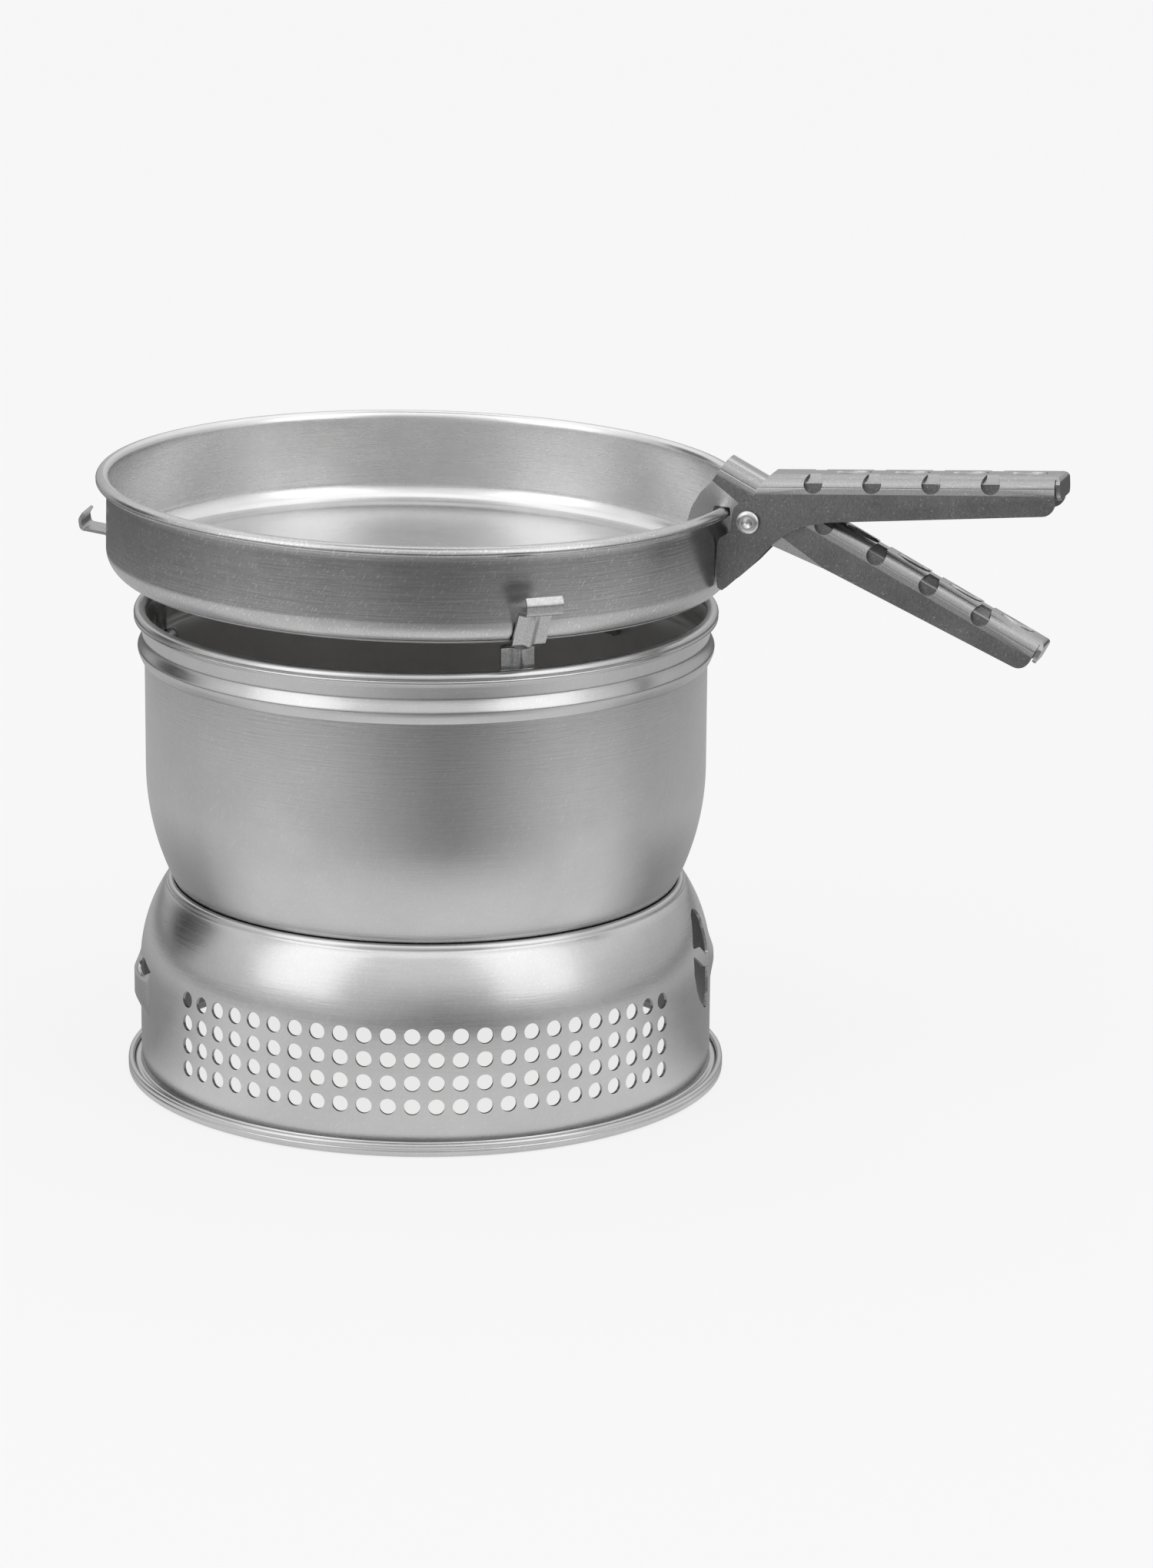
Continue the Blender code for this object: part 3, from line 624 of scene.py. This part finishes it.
def side_opening():
    """Two lobes of the tapered opening, with a narrow slanting bridge of sheet between."""
    upper = [(-17.9, 10.9, 0.6), (-16.6, 13.2, 3), (-12.0, 17.4, 3), (-8.5, 20.4, 3), (-4.5, 21.3, 2),
             (-0.6, 20.0, 3), (3.0, 16.5, 3), (1.9, 12.5, 4), (0.8, 4.6, 1), (-1.8, 3.6, 1), (-11.1, 9.8, 2)]
    lower = [(-19.2, 8.8, 0.6), (-9.3, 2.4, 1), (-1.5, 0.3, 1), (-1.3, -4, 4), (-2.0, -9.5, 3),
             (-5.2, -13.3, 1.5), (-8.5, -12.6, 2), (-14.5, -8.5, 6), (-18.4, -3.9, 5), (-20.9, 2.4, 4)]
    lobes = []
    for outline in (upper, lower):
        lobe = slab("opening_lobe", rounded_outline(outline), 12.0)
        lobe.matrix_world = STOVE_PLACE @ swing(OPENING_AZIMUTH) @ move(0, -96, 40)
        lobes.append(lobe)
    return lobes


def louvre_mouth():
    """The slanting slit under the louvre's upper edge."""
    outline = [(-5.6, -0.6), (-3.5, 1.6), (0.9, 2.8), (12.0, 1.0), (4.6, -2.5), (-3.0, -1.6)]
    item = slab("louvre_mouth", outline, 3.0)
    item.matrix_world = STOVE_PLACE @ swing(LOUVRE_MOUTH_AZIMUTH) @ move(0, -99.0, 40.6)
    return item


def make_burner_shelf():
    """Ring under the collar's flange that the burner hangs in, with eight round air holes."""
    line = bent_line([(79.6, 57.1, 0), (74.2, 57.1, 1.2), (72.8, 58.4, 1.2), (69, 58.4, 0), (47, 58.4, 0),
                      (35.8, 58.4, 0), (35.3, 58.4, 0, 0.6)])
    item = turned("shelf_spun", sheet_section(line), 192)
    holes = []
    for i in range(8):
        turn = tau * i / 8
        x, y = 58.0 * cos(turn), 58.0 * sin(turn)
        holes.append(bar("air_hole", (x, y, 54), (x, y, 63), 8.0, 48))
    carve(item, holes)
    item.location = STOVE
    return item


dress(make_base(), "lower_windshield", "satin_aluminium", "lower_windshield", SATIN)
# painted light: the burner shelf takes the paler inside copy of the aluminium all over
dress(make_burner_shelf(), "lower_windshield", "satin_aluminium", "burner_shelf", INSIDE)


# ---- upper windshield

def make_upper_windshield():
    """Bowl-shaped wall, then a rib, a narrow neck and a rolled rim whose edge shows as a line."""
    heights = [62 + (BOWL_CENTRE_Z - 62) * k / 22 for k in range(23)]
    outside = [(bowl_radius(60.4) + 0.27, 60.4)] + [(bowl_radius(z) + 0.5, z) for z in heights]
    outside += [(95.65, z) for z in (118.0, 130.0, 142.0, 145.9)]
    rib = [(95.8, 146.0), (96.3, 146.15), (96.6, 146.3), (96.8, 146.6), (97.05, 147.1), (97.35, 147.8),
           (97.65, 148.5), (97.85, 149.1), (97.96, 149.7), (98.0, 150.2), (97.95, 150.6), (97.82, 150.95),
           (97.62, 151.4), (97.4, 151.9), (97.16, 152.45), (96.92, 153.0), (96.72, 153.5), (96.6, 153.9),
           (96.5, 154.2), (96.44, 154.5)]
    neck = [(96.42, 154.9), (96.5, 155.5), (96.65, 156.5), (96.8, 157.5), (96.95, 158.3), (97.05, 159.0),
            (97.2, 159.35)]
    rim = [(97.6, 159.6), (98.3, 159.7), (98.8, 159.85), (99.05, 160.15), (99.15, 160.5), (99.12, 160.85),
           (98.98, 161.1), (98.86, 161.2), (98.86, 161.28), (99.02, 161.38), (99.18, 161.6), (99.2, 162.0),
           (99.1, 162.45), (98.85, 162.95), (98.45, 163.4), (97.9, 163.75), (97.2, 163.93), (96.5, 163.85),
           (95.9, 163.5), (95.5, 163.0), (95.3, 162.3), (95.25, 161.6), (95.45, 160.8), (95.9, 160.1),
           (96.2, 159.5)]
    inside = [(95.9, 158.8), (95.6, 157.8), (95.45, 156.8), (95.35, 155.4), (95.4, 154.2), (95.7, 153.2),
              (96.2, 152.0), (96.7, 151.0), (97.0, 150.2), (96.9, 149.4), (96.75, 148.4), (96.5, 147.8),
              (95.9, 147.5), (95.1, 147.2), (94.75, 146.6), (94.65, 142.0), (94.65, 130.0), (94.65, 118.0)]
    inside += [(bowl_radius(z) - 0.5, z) for z in reversed(heights)] + [(bowl_radius(60.4) - 0.23, 60.4)]
    item = turned("bowl_windshield", outside + rib + neck + rim + inside, 256)
    item.location = STOVE
    return item


bowl_windshield = make_upper_windshield()
# painted light: its inner faces take the paler inside copy of the aluminium
dress(bowl_windshield, "upper_windshield", "satin_aluminium", "upper_windshield", SATIN, INSIDE)
dress_inside(bowl_windshield)


# ---- frying pan

def make_pan():
    """Flat floor, a round corner, a straight wall and a flattened roll for a rim, whose edge
    shows as a line.
    """
    floor = [(r, 0.5, 1.0) for r in (0, 20, 45, 70)]
    line = floor + bent_line([(85, 0.5, 0), (105.8, 0.5, 8.0), (105.8, 27.6, 0)], 5)
    section = sheet_section(line)
    rim = [(106.32, 29.4), (106.4, 30.1), (106.75, 30.5), (107.6, 30.6), (108.6, 30.62), (109.3, 30.7),
           (109.72, 30.95), (109.9, 31.25), (109.86, 31.55), (109.65, 31.7), (109.52, 31.76), (109.56, 31.84),
           (109.82, 31.92), (109.93, 32.15), (109.84, 32.5), (109.6, 32.9), (109.25, 33.3), (108.75, 33.65),
           (108.1, 33.88), (107.4, 33.95), (106.7, 33.8), (106.15, 33.45), (105.75, 32.95), (105.5, 32.3),
           (105.37, 31.4), (105.32, 30.2), (105.3, 28.6)]
    item = turned("pan_spun", section[:len(line)] + rim + section[len(line):], 256)
    item.matrix_world = PAN_PLACE
    return item


pan_spun = make_pan()
dress(pan_spun, "frying_pan", "satin_aluminium", "frying_pan", PAN_METAL, PAN_INSIDE, PAN_FLOOR, INSIDE)
dress_inside(pan_spun)
# painted light: the floor's top takes the paler floor copy and the underside the paler inside copy, as the
# inner wall takes the paler pan copy
for face in pan_spun.data.polygons:
    if abs(face.normal.z) > 0.8 and face.center.z < mm(3):
        face.material_index = 2 if face.normal.z > 0 else 3


# ---- pot supports

# azimuth of each support, and how much lower it stands
SUPPORTS = ((18.8, 0.0), (138.8, 0.0), (-101.2, 2.0))
PIN_R, PIN_Z, KNUCKLE_R = 90.9, 148.2, 1.85
STRAP_R = PIN_R + KNUCKLE_R


def support_line():
    """Side view of a support: knuckle round the pin, strap, ledge, arm and hook."""
    knuckle = [(x, z, 1.0) for x, z in arc(PIN_R, PIN_Z, KNUCKLE_R, range(-290, 1, 10))]
    rest = bent_line([(STRAP_R, PIN_Z + 2, 0), (STRAP_R, 170.9, 1.3), (103.6, 174.0, 1.4),
                      (110.2, 185.7, 1.2), (118.9, 187.0, 1.6), (119.4, 190.4, 2), (118.1, 192.5, 0)], 10)
    line = [rest[0]]
    for before, after in zip(rest, rest[1:]):
        steps = max(1, round(dist(before[:2], after[:2]) / 1.5))
        line += [tuple(a + (b - a) * k / steps for a, b in zip(before, after)) for k in range(1, steps + 1)]
    return knuckle, line


def make_support(index, azimuth, drop):
    """Steel strip with a pressed ridge down its middle and a wider tip bar."""
    knuckle, rest = support_line()
    line = knuckle + rest
    normals = line_normals(line)
    run = [0.0]
    for before, after in zip(line, line[1:]):
        run.append(run[-1] + dist(before[:2], after[:2]))
    start, stop = run[len(knuckle)] + 4.0, run[-1] - 12.0
    across = [-1 + 2 * k / 20 for k in range(21)]
    place, faces = {}, []
    for i, ((r, z, thick), normal) in enumerate(zip(line, normals)):
        fade = max(0.0, min(1.0, (run[i] - start) / 4.0, (stop - run[i]) / 4.0))
        tip = max(0.0, min(1.0, (run[i] - run[-1] + 7.0) / 1.2))
        width = 5.7 + 0.5 * tip
        for k, side in enumerate(across):
            y = side * width
            ridge = 1.15 * fade * exp(-(y / 1.25) ** 2)
            at = Vector((r - PIN_R, z - PIN_Z)) + normal * ridge
            place[i, k] = (Vector((mm(at.x), mm(y), mm(at.y))), Vector((normal.x, 0, normal.y)), mm(thick))
    for i in range(len(line) - 1):
        for k in range(20):
            faces.append(((i, k), (i + 1, k), (i + 1, k + 1), (i, k + 1)))
    item = two_skins("support_strip_%d" % index, faces, place)
    soften(item, 0.18)
    item.matrix_world = support_place(azimuth, drop)
    return item


def support_place(azimuth, drop):
    """Where a support's hinge is; drop lowers it."""
    return STOVE_PLACE @ swing(azimuth - 90) @ move(PIN_R, 0, PIN_Z - drop)


def make_bracket(index, azimuth, drop):
    """Channel clip welded inside the wall, its two ears rounded round the pin."""
    outline = rounded_outline([(2.85, -11.7, 0.3), (2.85, -3.6, 2), (1.7, 2.2, 1.2), (-1.7, 2.4, 1.2),
                               (-2.5, -1.2, 2), (0.5, -11.7, 0.3)], 15)
    item = slab("hinge_clip_%d" % index, outline, 7.2)
    inner = slab("clip_room", [(-12, -14), (1.9, -14), (1.9, 6), (-12, 6)], 6.3)
    knuckle = slab("knuckle_room", [(-12, -3.2), (6, -3.2), (6, 6), (-12, 6)], 6.3)
    carve(item, [inner, knuckle, bar("pin_hole", (0, -9, 0), (0, 9, 0), 1.2, 24)])
    soften(item, 0.15)
    item.matrix_world = support_place(azimuth, drop)
    return item


def domed_pin(name, radius, half_length, head_radius, head_height):
    """A riveted pin with a low dome on each end, turned about Z."""
    dome = [(head_radius * cos(radians(a)), half_length + 0.25 * head_height
             + 0.75 * head_height * sin(radians(a))) for a in range(90, -1, -15)]
    dome[0] = (0, dome[0][1])
    side = dome + [(head_radius, half_length), (radius, half_length)]
    return turned(name, side + [(r, -z) for r, z in reversed(side)], 48)


for number, (azimuth, drop) in enumerate(SUPPORTS, start=1):
    support = "pot_support_%d" % number
    dress(make_support(number, azimuth, drop), support, "plated_steel", support, STRIP_STEEL)
    dress(make_bracket(number, azimuth, drop), "upper_windshield", "plated_steel",
          "support_bracket_%d" % number, STRIP_STEEL)
    pin = domed_pin("hinge_pin_%d" % number, 0.9, 7.5, 1.8, 0.8)
    pin.matrix_world = support_place(azimuth, drop) @ swing(90, "X")
    dress(pin, "upper_windshield", "rivet_steel", "support_pin_%d" % number, RIVET_STEEL)


# ---- pan gripper

WEB_END = 103.7        # where the folded end flap starts
UPPER_TOP, UPPER_TILT = 15.3, -3.75
LOWER_TOP, LOWER_TILT = 14.0, 26.5
HANDLE_SHEET, BEND_R = 1.2, 4.7
NOTCH_R, NOTCH_START, NOTCH_PITCH = 3.2, 22.5, 19.95
OVAL_START, OVAL_PITCH = 34.4, 19.8
UPPER_OUTLINE = [
    (WEB_END, 2.7, 4.4), (48.6, 0.7, 20), (27.0, -0.04, 10), (19.7, -1.18, 6), (13.0, -3.92, 6),
    (7.3, -8.0, 6), (-1.2, -16.2, 4), (-8.6, -22.2, 2), (-10.4, -23.4, 0.7), (-11.8, -22.4, 0.8),
    (-12.1, -19.0, 2), (-11.2, -8.1, 1), (-10.2, -5.6, 1), (-7.7, -4.2, 1), (-6.2, -2.6, 1), (-5.6, 2.2, 2),
    (-4.6, 5.0, 2), (-2.2, 6.6, 2), (1.5, 7.3, 0.8), (2.3, 8.6, 0.8), (3.6, 11.6, 0.8),
    (7.6, UPPER_TOP + 0.02, 0), (105.5, UPPER_TOP + 0.02, 2.2), (105.5, 7.5, 0.5), (WEB_END, 7.5, 0)]
LOWER_OUTLINE = [
    (WEB_END, 2.6, 4.2), (60.0, 0.3, 20), (30.0, -1.3, 10), (9.9, -3.6, 4), (4.0, -5.0, 2), (-0.5, -5.0, 1.5),
    (-5.3, -3.7, 1.0), (-8.0, 0.55, 0.5), (-13.0, -1.65, 0.5), (-10.6, -9.6, 2), (-12.4, -14.8, 1.2),
    (-15.4, -15.6, 1.2), (-18.4, -11.6, 3), (-19.4, -6.0, 5), (-19.0, 0.0, 5), (-17.4, 5.0, 5),
    (-16.4, LOWER_TOP + 0.02, 0), (105.6, LOWER_TOP + 0.02, 2.2), (105.5, 6.2, 0.5), (WEB_END, 6.2, 0)]


def channel(name, half_width, top, sheet, depth, length):
    """Bar along X whose section is flat on top, with two round bends; sheet is how far it is
    inside the handle's outer face.
    """
    side = [(half_width, -depth), (half_width, top - 6.0 + 0.3 * sheet)]
    bend = BEND_R - sheet
    centre = half_width - 0.28 - bend * cos(radians(8))
    # a faint crease where each bend starts and ends
    for angle, dip in ((8, 0), (10.5, 0.08), (13, 0), (20, 0), (28, 0), (37, 0), (46, 0), (55, 0), (63, 0),
                       (69, 0), (72, 0.08), (75, 0), (82, 0), (90, 0)):
        turn = radians(angle)
        side.append((centre + (bend - dip) * cos(turn), top - bend + (bend - dip) * sin(turn)))
    item = slab(name, side + [(-x, z) for x, z in reversed(side)], length / 2)
    item.data.transform(move(length / 2 - 45, 0, 0) @ swing(90))
    return item


def round_tool(name, middle, size):
    """An egg-shaped tool by its middle and half sizes in millimetres."""
    build = bmesh.new()
    bmesh.ops.create_uvsphere(build, u_segments=64, v_segments=40, radius=1.0)
    place = move(*middle) @ Matrix.Diagonal([mm(v) for v in size] + [1])
    bmesh.ops.transform(build, verts=build.verts, matrix=place)
    return from_bmesh(name, build)


def block(name, low, high):
    """A box tool by its two corners in millimetres."""
    item = slab(name, [(low[0], low[2]), (high[0], low[2]), (high[0], high[2]), (low[0], high[2])],
                (high[1] - low[1]) / 2)
    item.data.transform(move(0, (low[1] + high[1]) / 2, 0))
    return item


def thumb_notches(half_width, top, wall):
    """Round notches pressed into both bends of a handle, upright inside and slanting to the
    flat top; wall makes them larger for the back of the sheet.
    """
    tools, radius = [], NOTCH_R + wall
    angles = [radians(a) for a in range(-90, 91, 6)]
    for index in range(4):
        for side in (-1, 1):
            verts = []
            for way in (-1, 1):
                for angle in angles:
                    x, z = radius * cos(angle) * way, top - 2.5 + radius * sin(angle)
                    deep = 1.7 + wall + 1.6 * max(0.0, z - top + 2.4)
                    x += NOTCH_START + NOTCH_PITCH * index
                    verts += [(mm(x), mm(side * (half_width + 2)), mm(z)),
                              (mm(x), mm(side * (half_width - deep)), mm(z))]
            count = 2 * len(angles)
            faces = []
            for k in range(0, count - 2, 2):
                faces += [(k, k + 2, k + 3, k + 1), (k + count, k + 1 + count, k + 3 + count, k + 2 + count),
                          (k, k + count, k + 2 + count, k + 2), (k + 1, k + 3, k + 3 + count, k + 1 + count)]
            faces += [(0, 1, 1 + count, count), (count - 2, 2 * count - 2, 2 * count - 1, count - 1)]
            tools.append(closed_mesh("thumb_notch", verts, faces, merge=True))
    return tools


def make_handle(name, outline, half_width, top, tilt_deg, body, node):
    """Pressed channel handle: round bends with notches, ovals pressed in its top, a folded end flap."""
    item = slab(name, rounded_outline(outline), half_width + 1)
    carve(item, [channel("outside", half_width, top, 0.0, 40, 180)], "INTERSECT")
    room = channel("inside", half_width - HANDLE_SHEET, top - HANDLE_SHEET, HANDLE_SHEET, 44, 184)
    ovals = [(OVAL_START + OVAL_PITCH * i, 0, top + 0.3) for i in range(4)]
    backs = [round_tool("oval_back", middle, (7.5, 3.7, 3.1)) for middle in ovals]
    beyond = block("end_flap", (104.2, -20, -50), (150, 20, 30))
    carve(room, backs + thumb_notches(half_width, top, HANDLE_SHEET) + [beyond])
    tools = [room, bar("rivet_hole", (0, -12, 0), (0, 12, 0), 2.2)] + thumb_notches(half_width, top, 0.0)
    for side in (-1, 1):
        near, far = sorted((side * (half_width - 4.4), side * (half_width + 2)))
        tools.append(block("flap_gap", (103.75, near, -30), (104.15, far, top - 0.9)))
        near, far = sorted((side * (half_width - 0.9), side * (half_width + 2)))
        tools.append(block("flap_side", (104.0, near, -30), (108, far, 30)))
        corner = [(side * x, z) for x, z in arc(half_width - 3.9, top - 4.8, 3, range(0, -91, -15))]
        corner += [(side * (half_width - 3.9), top - 9), (side * (half_width + 1), top - 9),
                   (side * (half_width + 1), top - 4.8)]
        tool = slab("flap_corner", corner, 2.0)
        tool.data.transform(move(106.1, 0, 0) @ swing(90))
        tools.append(tool)
    tools.append(block("flap_foot", (103.9, -20, -30), (108, 20, top - 7.8)))
    carve(item, tools + [round_tool("oval", middle, (6.4, 2.6, 1.9)) for middle in ovals])
    # finishes: 0 the flat sides, duller and darker, painted shade; 1 the tongue in the pan and the broken
    # edges, near white, painted highlight; 2 the top, the notches and the end flap, lighter, painted light; 3
    # the bends, lighter, painted light
    dress(item, body, "plated_steel", node, DULL_SHADED_STEEL, HIGHLIGHT_STEEL, FLAT_STEEL, BEND_STEEL)
    for face in item.data.polygons:
        x, y, z = face.center / 0.001
        along, across, up = abs(face.normal.x), abs(face.normal.y), face.normal.z
        on_bend = z > top - BEND_R and abs(y) > half_width - BEND_R
        if tilt_deg > 0 and x < 3:
            face.material_index = 1
        elif on_bend and 0.1 < across < 0.985 and along < 0.2:
            face.material_index = 3
        elif up > 0.3 or x > 104 or (z > top - 6 and 0.5 < across < 0.9999):
            face.material_index = 2
        else:
            face.material_index = 0
    item.data.transform(GRIP_PLACE @ swing(tilt_deg, "Y"))
    # the rounds on the broken edges take material 1, the painted highlight
    soften(item, 0.3, segments=3, material=1)


make_handle("upper_handle_pressed", UPPER_OUTLINE, 8.5, UPPER_TOP, UPPER_TILT, "frying_pan",
            "gripper_upper_handle")
make_handle("lower_handle_pressed", LOWER_OUTLINE, 6.9, LOWER_TOP, LOWER_TILT, "gripper_lower_handle",
            "gripper_lower_handle")
# flat-headed, with a small dimple from the setting punch
head = [(0, 9.75), (0.6, 9.75), (1.0, 10.0), (1.35, 10.3), (2.0, 10.42), (2.8, 10.4), (3.4, 10.2), (3.8, 9.8),
        (3.9, 9.3), (3.9, 8.8), (1.9, 8.8)]
rivet = turned("gripper_rivet_headed", head + [(r, -z) for r, z in reversed(head)], 64)
rivet.matrix_world = GRIP_PLACE @ swing(90, "X")
dress(rivet, "frying_pan", "rivet_steel", "gripper_rivet", RIVET_STEEL)


# ---- spirit burner

FLAP_REACH = 24        # from the axis to the rivet that the flap swings about


def make_burner():
    """Brass vessel with a rolled shoulder, inner cup, cotton wick and simmer ring."""
    vessel = [(0, 29.6, 0), (33.4, 29.6, 3), (33.4, 58.6, 0.5), (34.2, 59.7, 0.5), (36.2, 59.7, 0.8),
              (36.2, 70, 2), (31.7, 70, 0)]
    cup = [(33.7, 71.1, 0), (21.4, 71.1, 2), (21.0, 50, 0), (21.0, 33.6, 0)]
    ring = [(37.3, 66, 0), (37.3, 73.5, 1.2), (12.5, 73.5, 0)]
    for name, corners, body, node in (("burner_vessel", vessel, "burner", "burner_body"),
                                      ("burner_cup", cup, "burner", "burner_inner_cup"),
                                      ("simmer_ring_spun", ring, "simmer_ring", "simmer_ring")):
        item = turned(name, sheet_section(bent_line(corners, sheet=0.8)), 96)
        item.location = STOVE
        if name == "simmer_ring_spun":
            hole = bar("pivot_hole", (FLAP_REACH, 0, 70), (FLAP_REACH, 0, 77), 1.2)
            hole.location = STOVE
            carve(item, [hole])
        dress(item, body, "spun_brass", node, BRASS)
    sides = [(30.5 if k < 2 else 23.5, 62 if k in (0, 3) else 33) for k in range(4)]
    wick = turned("wick_braided", sides, 96)
    wick.location = STOVE
    soften(wick, 1.0, segments=4)
    dress(wick, "burner", "wick_cotton", "burner_wick", COTTON)


def make_simmer_flap():
    """Round lid with a thumb tab that swings about its rivet."""
    outline = arc(-FLAP_REACH, 0, 15, range(20, 341, 5))
    outline += [(3.4, -3.6), (7, -3.6), (14.3, -3.2), (14.9, 0), (14.3, 3.2), (7, 3.6), (3.4, 3.6)]
    item = slab("flap_lid", outline, 0.4)
    item.data.transform(move(0, 0, 74.6) @ swing(-90, "X"))
    carve(item, [bar("flap_hole", (0, 0, 70), (0, 0, 78), 1.2)])
    soften(item, 0.15)
    item.location = STOVE + Vector((mm(FLAP_REACH), 0, 0))
    dress(item, "simmer_flap", "spun_brass", "simmer_flap", BRASS)
    profile = [(0, 76.2), (1.2, 76.1), (1.9, 75.8), (2.2, 75.3), (0.9, 75.3), (0.9, 72.8), (1.8, 72.8),
               (1.8, 72.3), (0, 72.3)]
    rivet = turned("flap_rivet_domed", profile, 48)
    rivet.location = item.location
    dress(rivet, "simmer_ring", "spun_brass", "flap_rivet", BRASS)


make_burner()
make_simmer_flap()


# ---- studio

def light_round(tree, azimuth):
    """How bright the studio is by azimuth, at the level of the floor and walls: two pale
    sides, and a darker gap ahead and behind where the room is open.
    """
    turn = add(tree, "MapRange", (azimuth, -pi, pi))
    ramp = add(tree, "ValToRGB", {0: turn})
    stops = ((0, 0.55), (30, 0.56), (60, 0.66), (92, 0.76), (118, 0.92), (134, 0.92), (154, 0.72),
             (172, 0.48), (190, 0.36), (202, 0.46), (220, 0.78), (236, 0.92), (250, 0.86), (270, 0.64),
             (300, 0.62), (330, 0.56), (360, 0.55))
    points = ramp.color_ramp.elements
    while len(points) < len(stops):
        points.new(0.5)
    for point, (azimuth_deg, level) in zip(points, stops):
        point.position = azimuth_deg / 360
        point.color = (level, level, level, 1.0)
    ramp.color_ramp.interpolation = "B_SPLINE"
    return ramp.outputs["Color"]


def seen_directly(tree):
    """1 for what the eye sees straight or through clear matter, 0 for light that bounces."""
    path = add(tree, "LightPath")
    seen = add(tree, "Math", (path.outputs["Is Camera Ray"], path.outputs["Is Transmission Ray"]),
               operation="MAXIMUM")
    return seen, path.outputs["Is Glossy Ray"]


def make_floor():
    """White paper sweep: shows as white, keeps a soft shadow, and fades with distance in metal."""
    build = bmesh.new()
    bmesh.ops.create_grid(build, x_segments=1, y_segments=1, size=4.0)
    item = from_bmesh("paper_floor", build)
    material, tree = empty_material("white_paper")
    seen, in_metal = seen_directly(tree)
    place = add(tree, "NewGeometry")
    local = add(tree, "VectorMath", (place.outputs["Position"], STOVE), operation="SUBTRACT")
    split = add(tree, "SeparateXYZ", {0: local})
    azimuth = azimuth_of(tree, split)
    reach = add(tree, "VectorMath", {0: local}, operation="LENGTH")
    far = add(tree, "MapRange", (reach, 0.14, 0.36), interpolation_type="SMOOTHSTEP")
    ahead = add(tree, "Math", {0: azimuth}, operation="ABSOLUTE")
    near = add(tree, "MapRange", (ahead, 1.15, 1.65, 0.95, 0.36))
    fade = add(tree, "MapRange", (reach, 0.58, 0.86, 1.0, 0.28), interpolation_type="SMOOTHSTEP")
    level = add(tree, "Math", (light_round(tree, azimuth), fade), operation="MULTIPLY")
    level = add(tree, "Mix", {0: far, 2: near, 3: level})
    # the paper that the base stands over gets little light
    under = add(tree, "MapRange", (reach, 0.092, 0.106, 0.45, 1.0))
    level = add(tree, "Math", (level, under), operation="MULTIPLY")
    reflected = add(tree, "Emission", {"Color": colour("#FFFFFF"), "Strength": level})
    paper = add(tree, "BsdfDiffuse", {"Color": colour("#E6E6E6")})
    shadow = add(tree, "BsdfDiffuse", {"Color": colour("#626262")})
    glow = add(tree, "Emission", {"Color": colour("#FFFFFF"), "Strength": 0.8})
    white = add(tree, "AddShader", (shadow, glow))
    bounce = add(tree, "MixShader", (in_metal, paper, reflected))
    mixed = add(tree, "MixShader", (seen, bounce, white))
    add(tree, "OutputMaterial", {"Surface": mixed})
    item.data.materials.append(material)


def make_room():
    """Pale studio all round: shows as white, palest high up and dim straight overhead, with a dark
    screen behind the stove to the left.
    """
    world = bpy.data.worlds.new("studio")
    bpy.context.scene.world = world
    world.use_nodes = True
    tree = world.node_tree
    tree.nodes.clear()
    seen, _ = seen_directly(tree)
    sky = add(tree, "TexCoord").outputs["Generated"]
    split = add(tree, "SeparateXYZ", {0: sky})
    level = light_round(tree, azimuth_of(tree, split))
    # by height: even from half way up, a paler band high up, dim straight overhead
    for start, stop, strength in ((0.08, 0.6, 1.0), (0.72, 0.86, 1.4), (0.93, 0.985, 0.5)):
        lift = add(tree, "MapRange", (split.outputs["Z"], start, stop), interpolation_type="SMOOTHSTEP")
        level = add(tree, "Mix", {0: lift, 2: level, 3: strength})
    facing = add(tree, "VectorMath", (sky, (-0.825, 0.499, 0.265)), operation="DOT_PRODUCT")
    screen = add(tree, "MapRange", (facing, 0.945, 0.985, 1.0, 0.08), interpolation_type="SMOOTHSTEP")
    level = add(tree, "Math", (level, screen), operation="MULTIPLY")
    room = add(tree, "Background", {"Color": colour("#FFFFFF"), "Strength": level})
    white = add(tree, "Background", {"Color": colour("#FFFFFF"), "Strength": 0.92})
    mixed = add(tree, "MixShader", (seen, room, white))
    add(tree, "OutputWorld", {"Surface": mixed})


def soft_box(name, azimuth, power):
    """Area lamp of 1.0 x 1.3 m, 1.6 m from the middle of the set and 30 degrees up."""
    data = bpy.data.lights.new(name, "AREA")
    data.shape = "RECTANGLE"
    data.size, data.size_y = 1.0, 1.3
    data.energy = power
    item = put_in(name, data)
    turn, lift = radians(azimuth), radians(30)
    aim = STOVE + Vector((0, 0, 0.11))
    out = Vector((sin(turn) * cos(lift), -cos(turn) * cos(lift), sin(lift)))
    item.location = aim + out * 1.6
    item.rotation_euler = out.to_track_quat("Z", "Y").to_euler()


make_floor()
make_room()
soft_box("left_box", -53, 3.5)
soft_box("right_box", 46, 3.3)


def make_camera():
    """Camera solved from the photograph: 1.9 m ahead, looking 15.3 degrees down."""
    data = bpy.data.cameras.new("camera")
    data.sensor_fit = "VERTICAL"
    data.sensor_height = 36.0
    data.lens = 132.4
    data.clip_start, data.clip_end = 0.05, 50.0
    yaw, pitch, roll = radians(1.259), 0.2678, 0.0087
    look = Vector((sin(yaw) * cos(pitch), cos(yaw) * cos(pitch), -sin(pitch)))
    level = Vector((cos(yaw), -sin(yaw), 0))
    above = level.cross(look)
    right = level * cos(roll) + above * sin(roll)
    top = above * cos(roll) - level * sin(roll)
    item = put_in("camera", data)
    turn = Matrix((right, top, -look)).transposed().to_4x4()
    item.matrix_world = STOVE_PLACE @ move(9.6, -1904.9, 622.9) @ turn
    bpy.context.scene.camera = item


make_camera()
bpy.context.scene.view_settings.view_transform = "Standard"
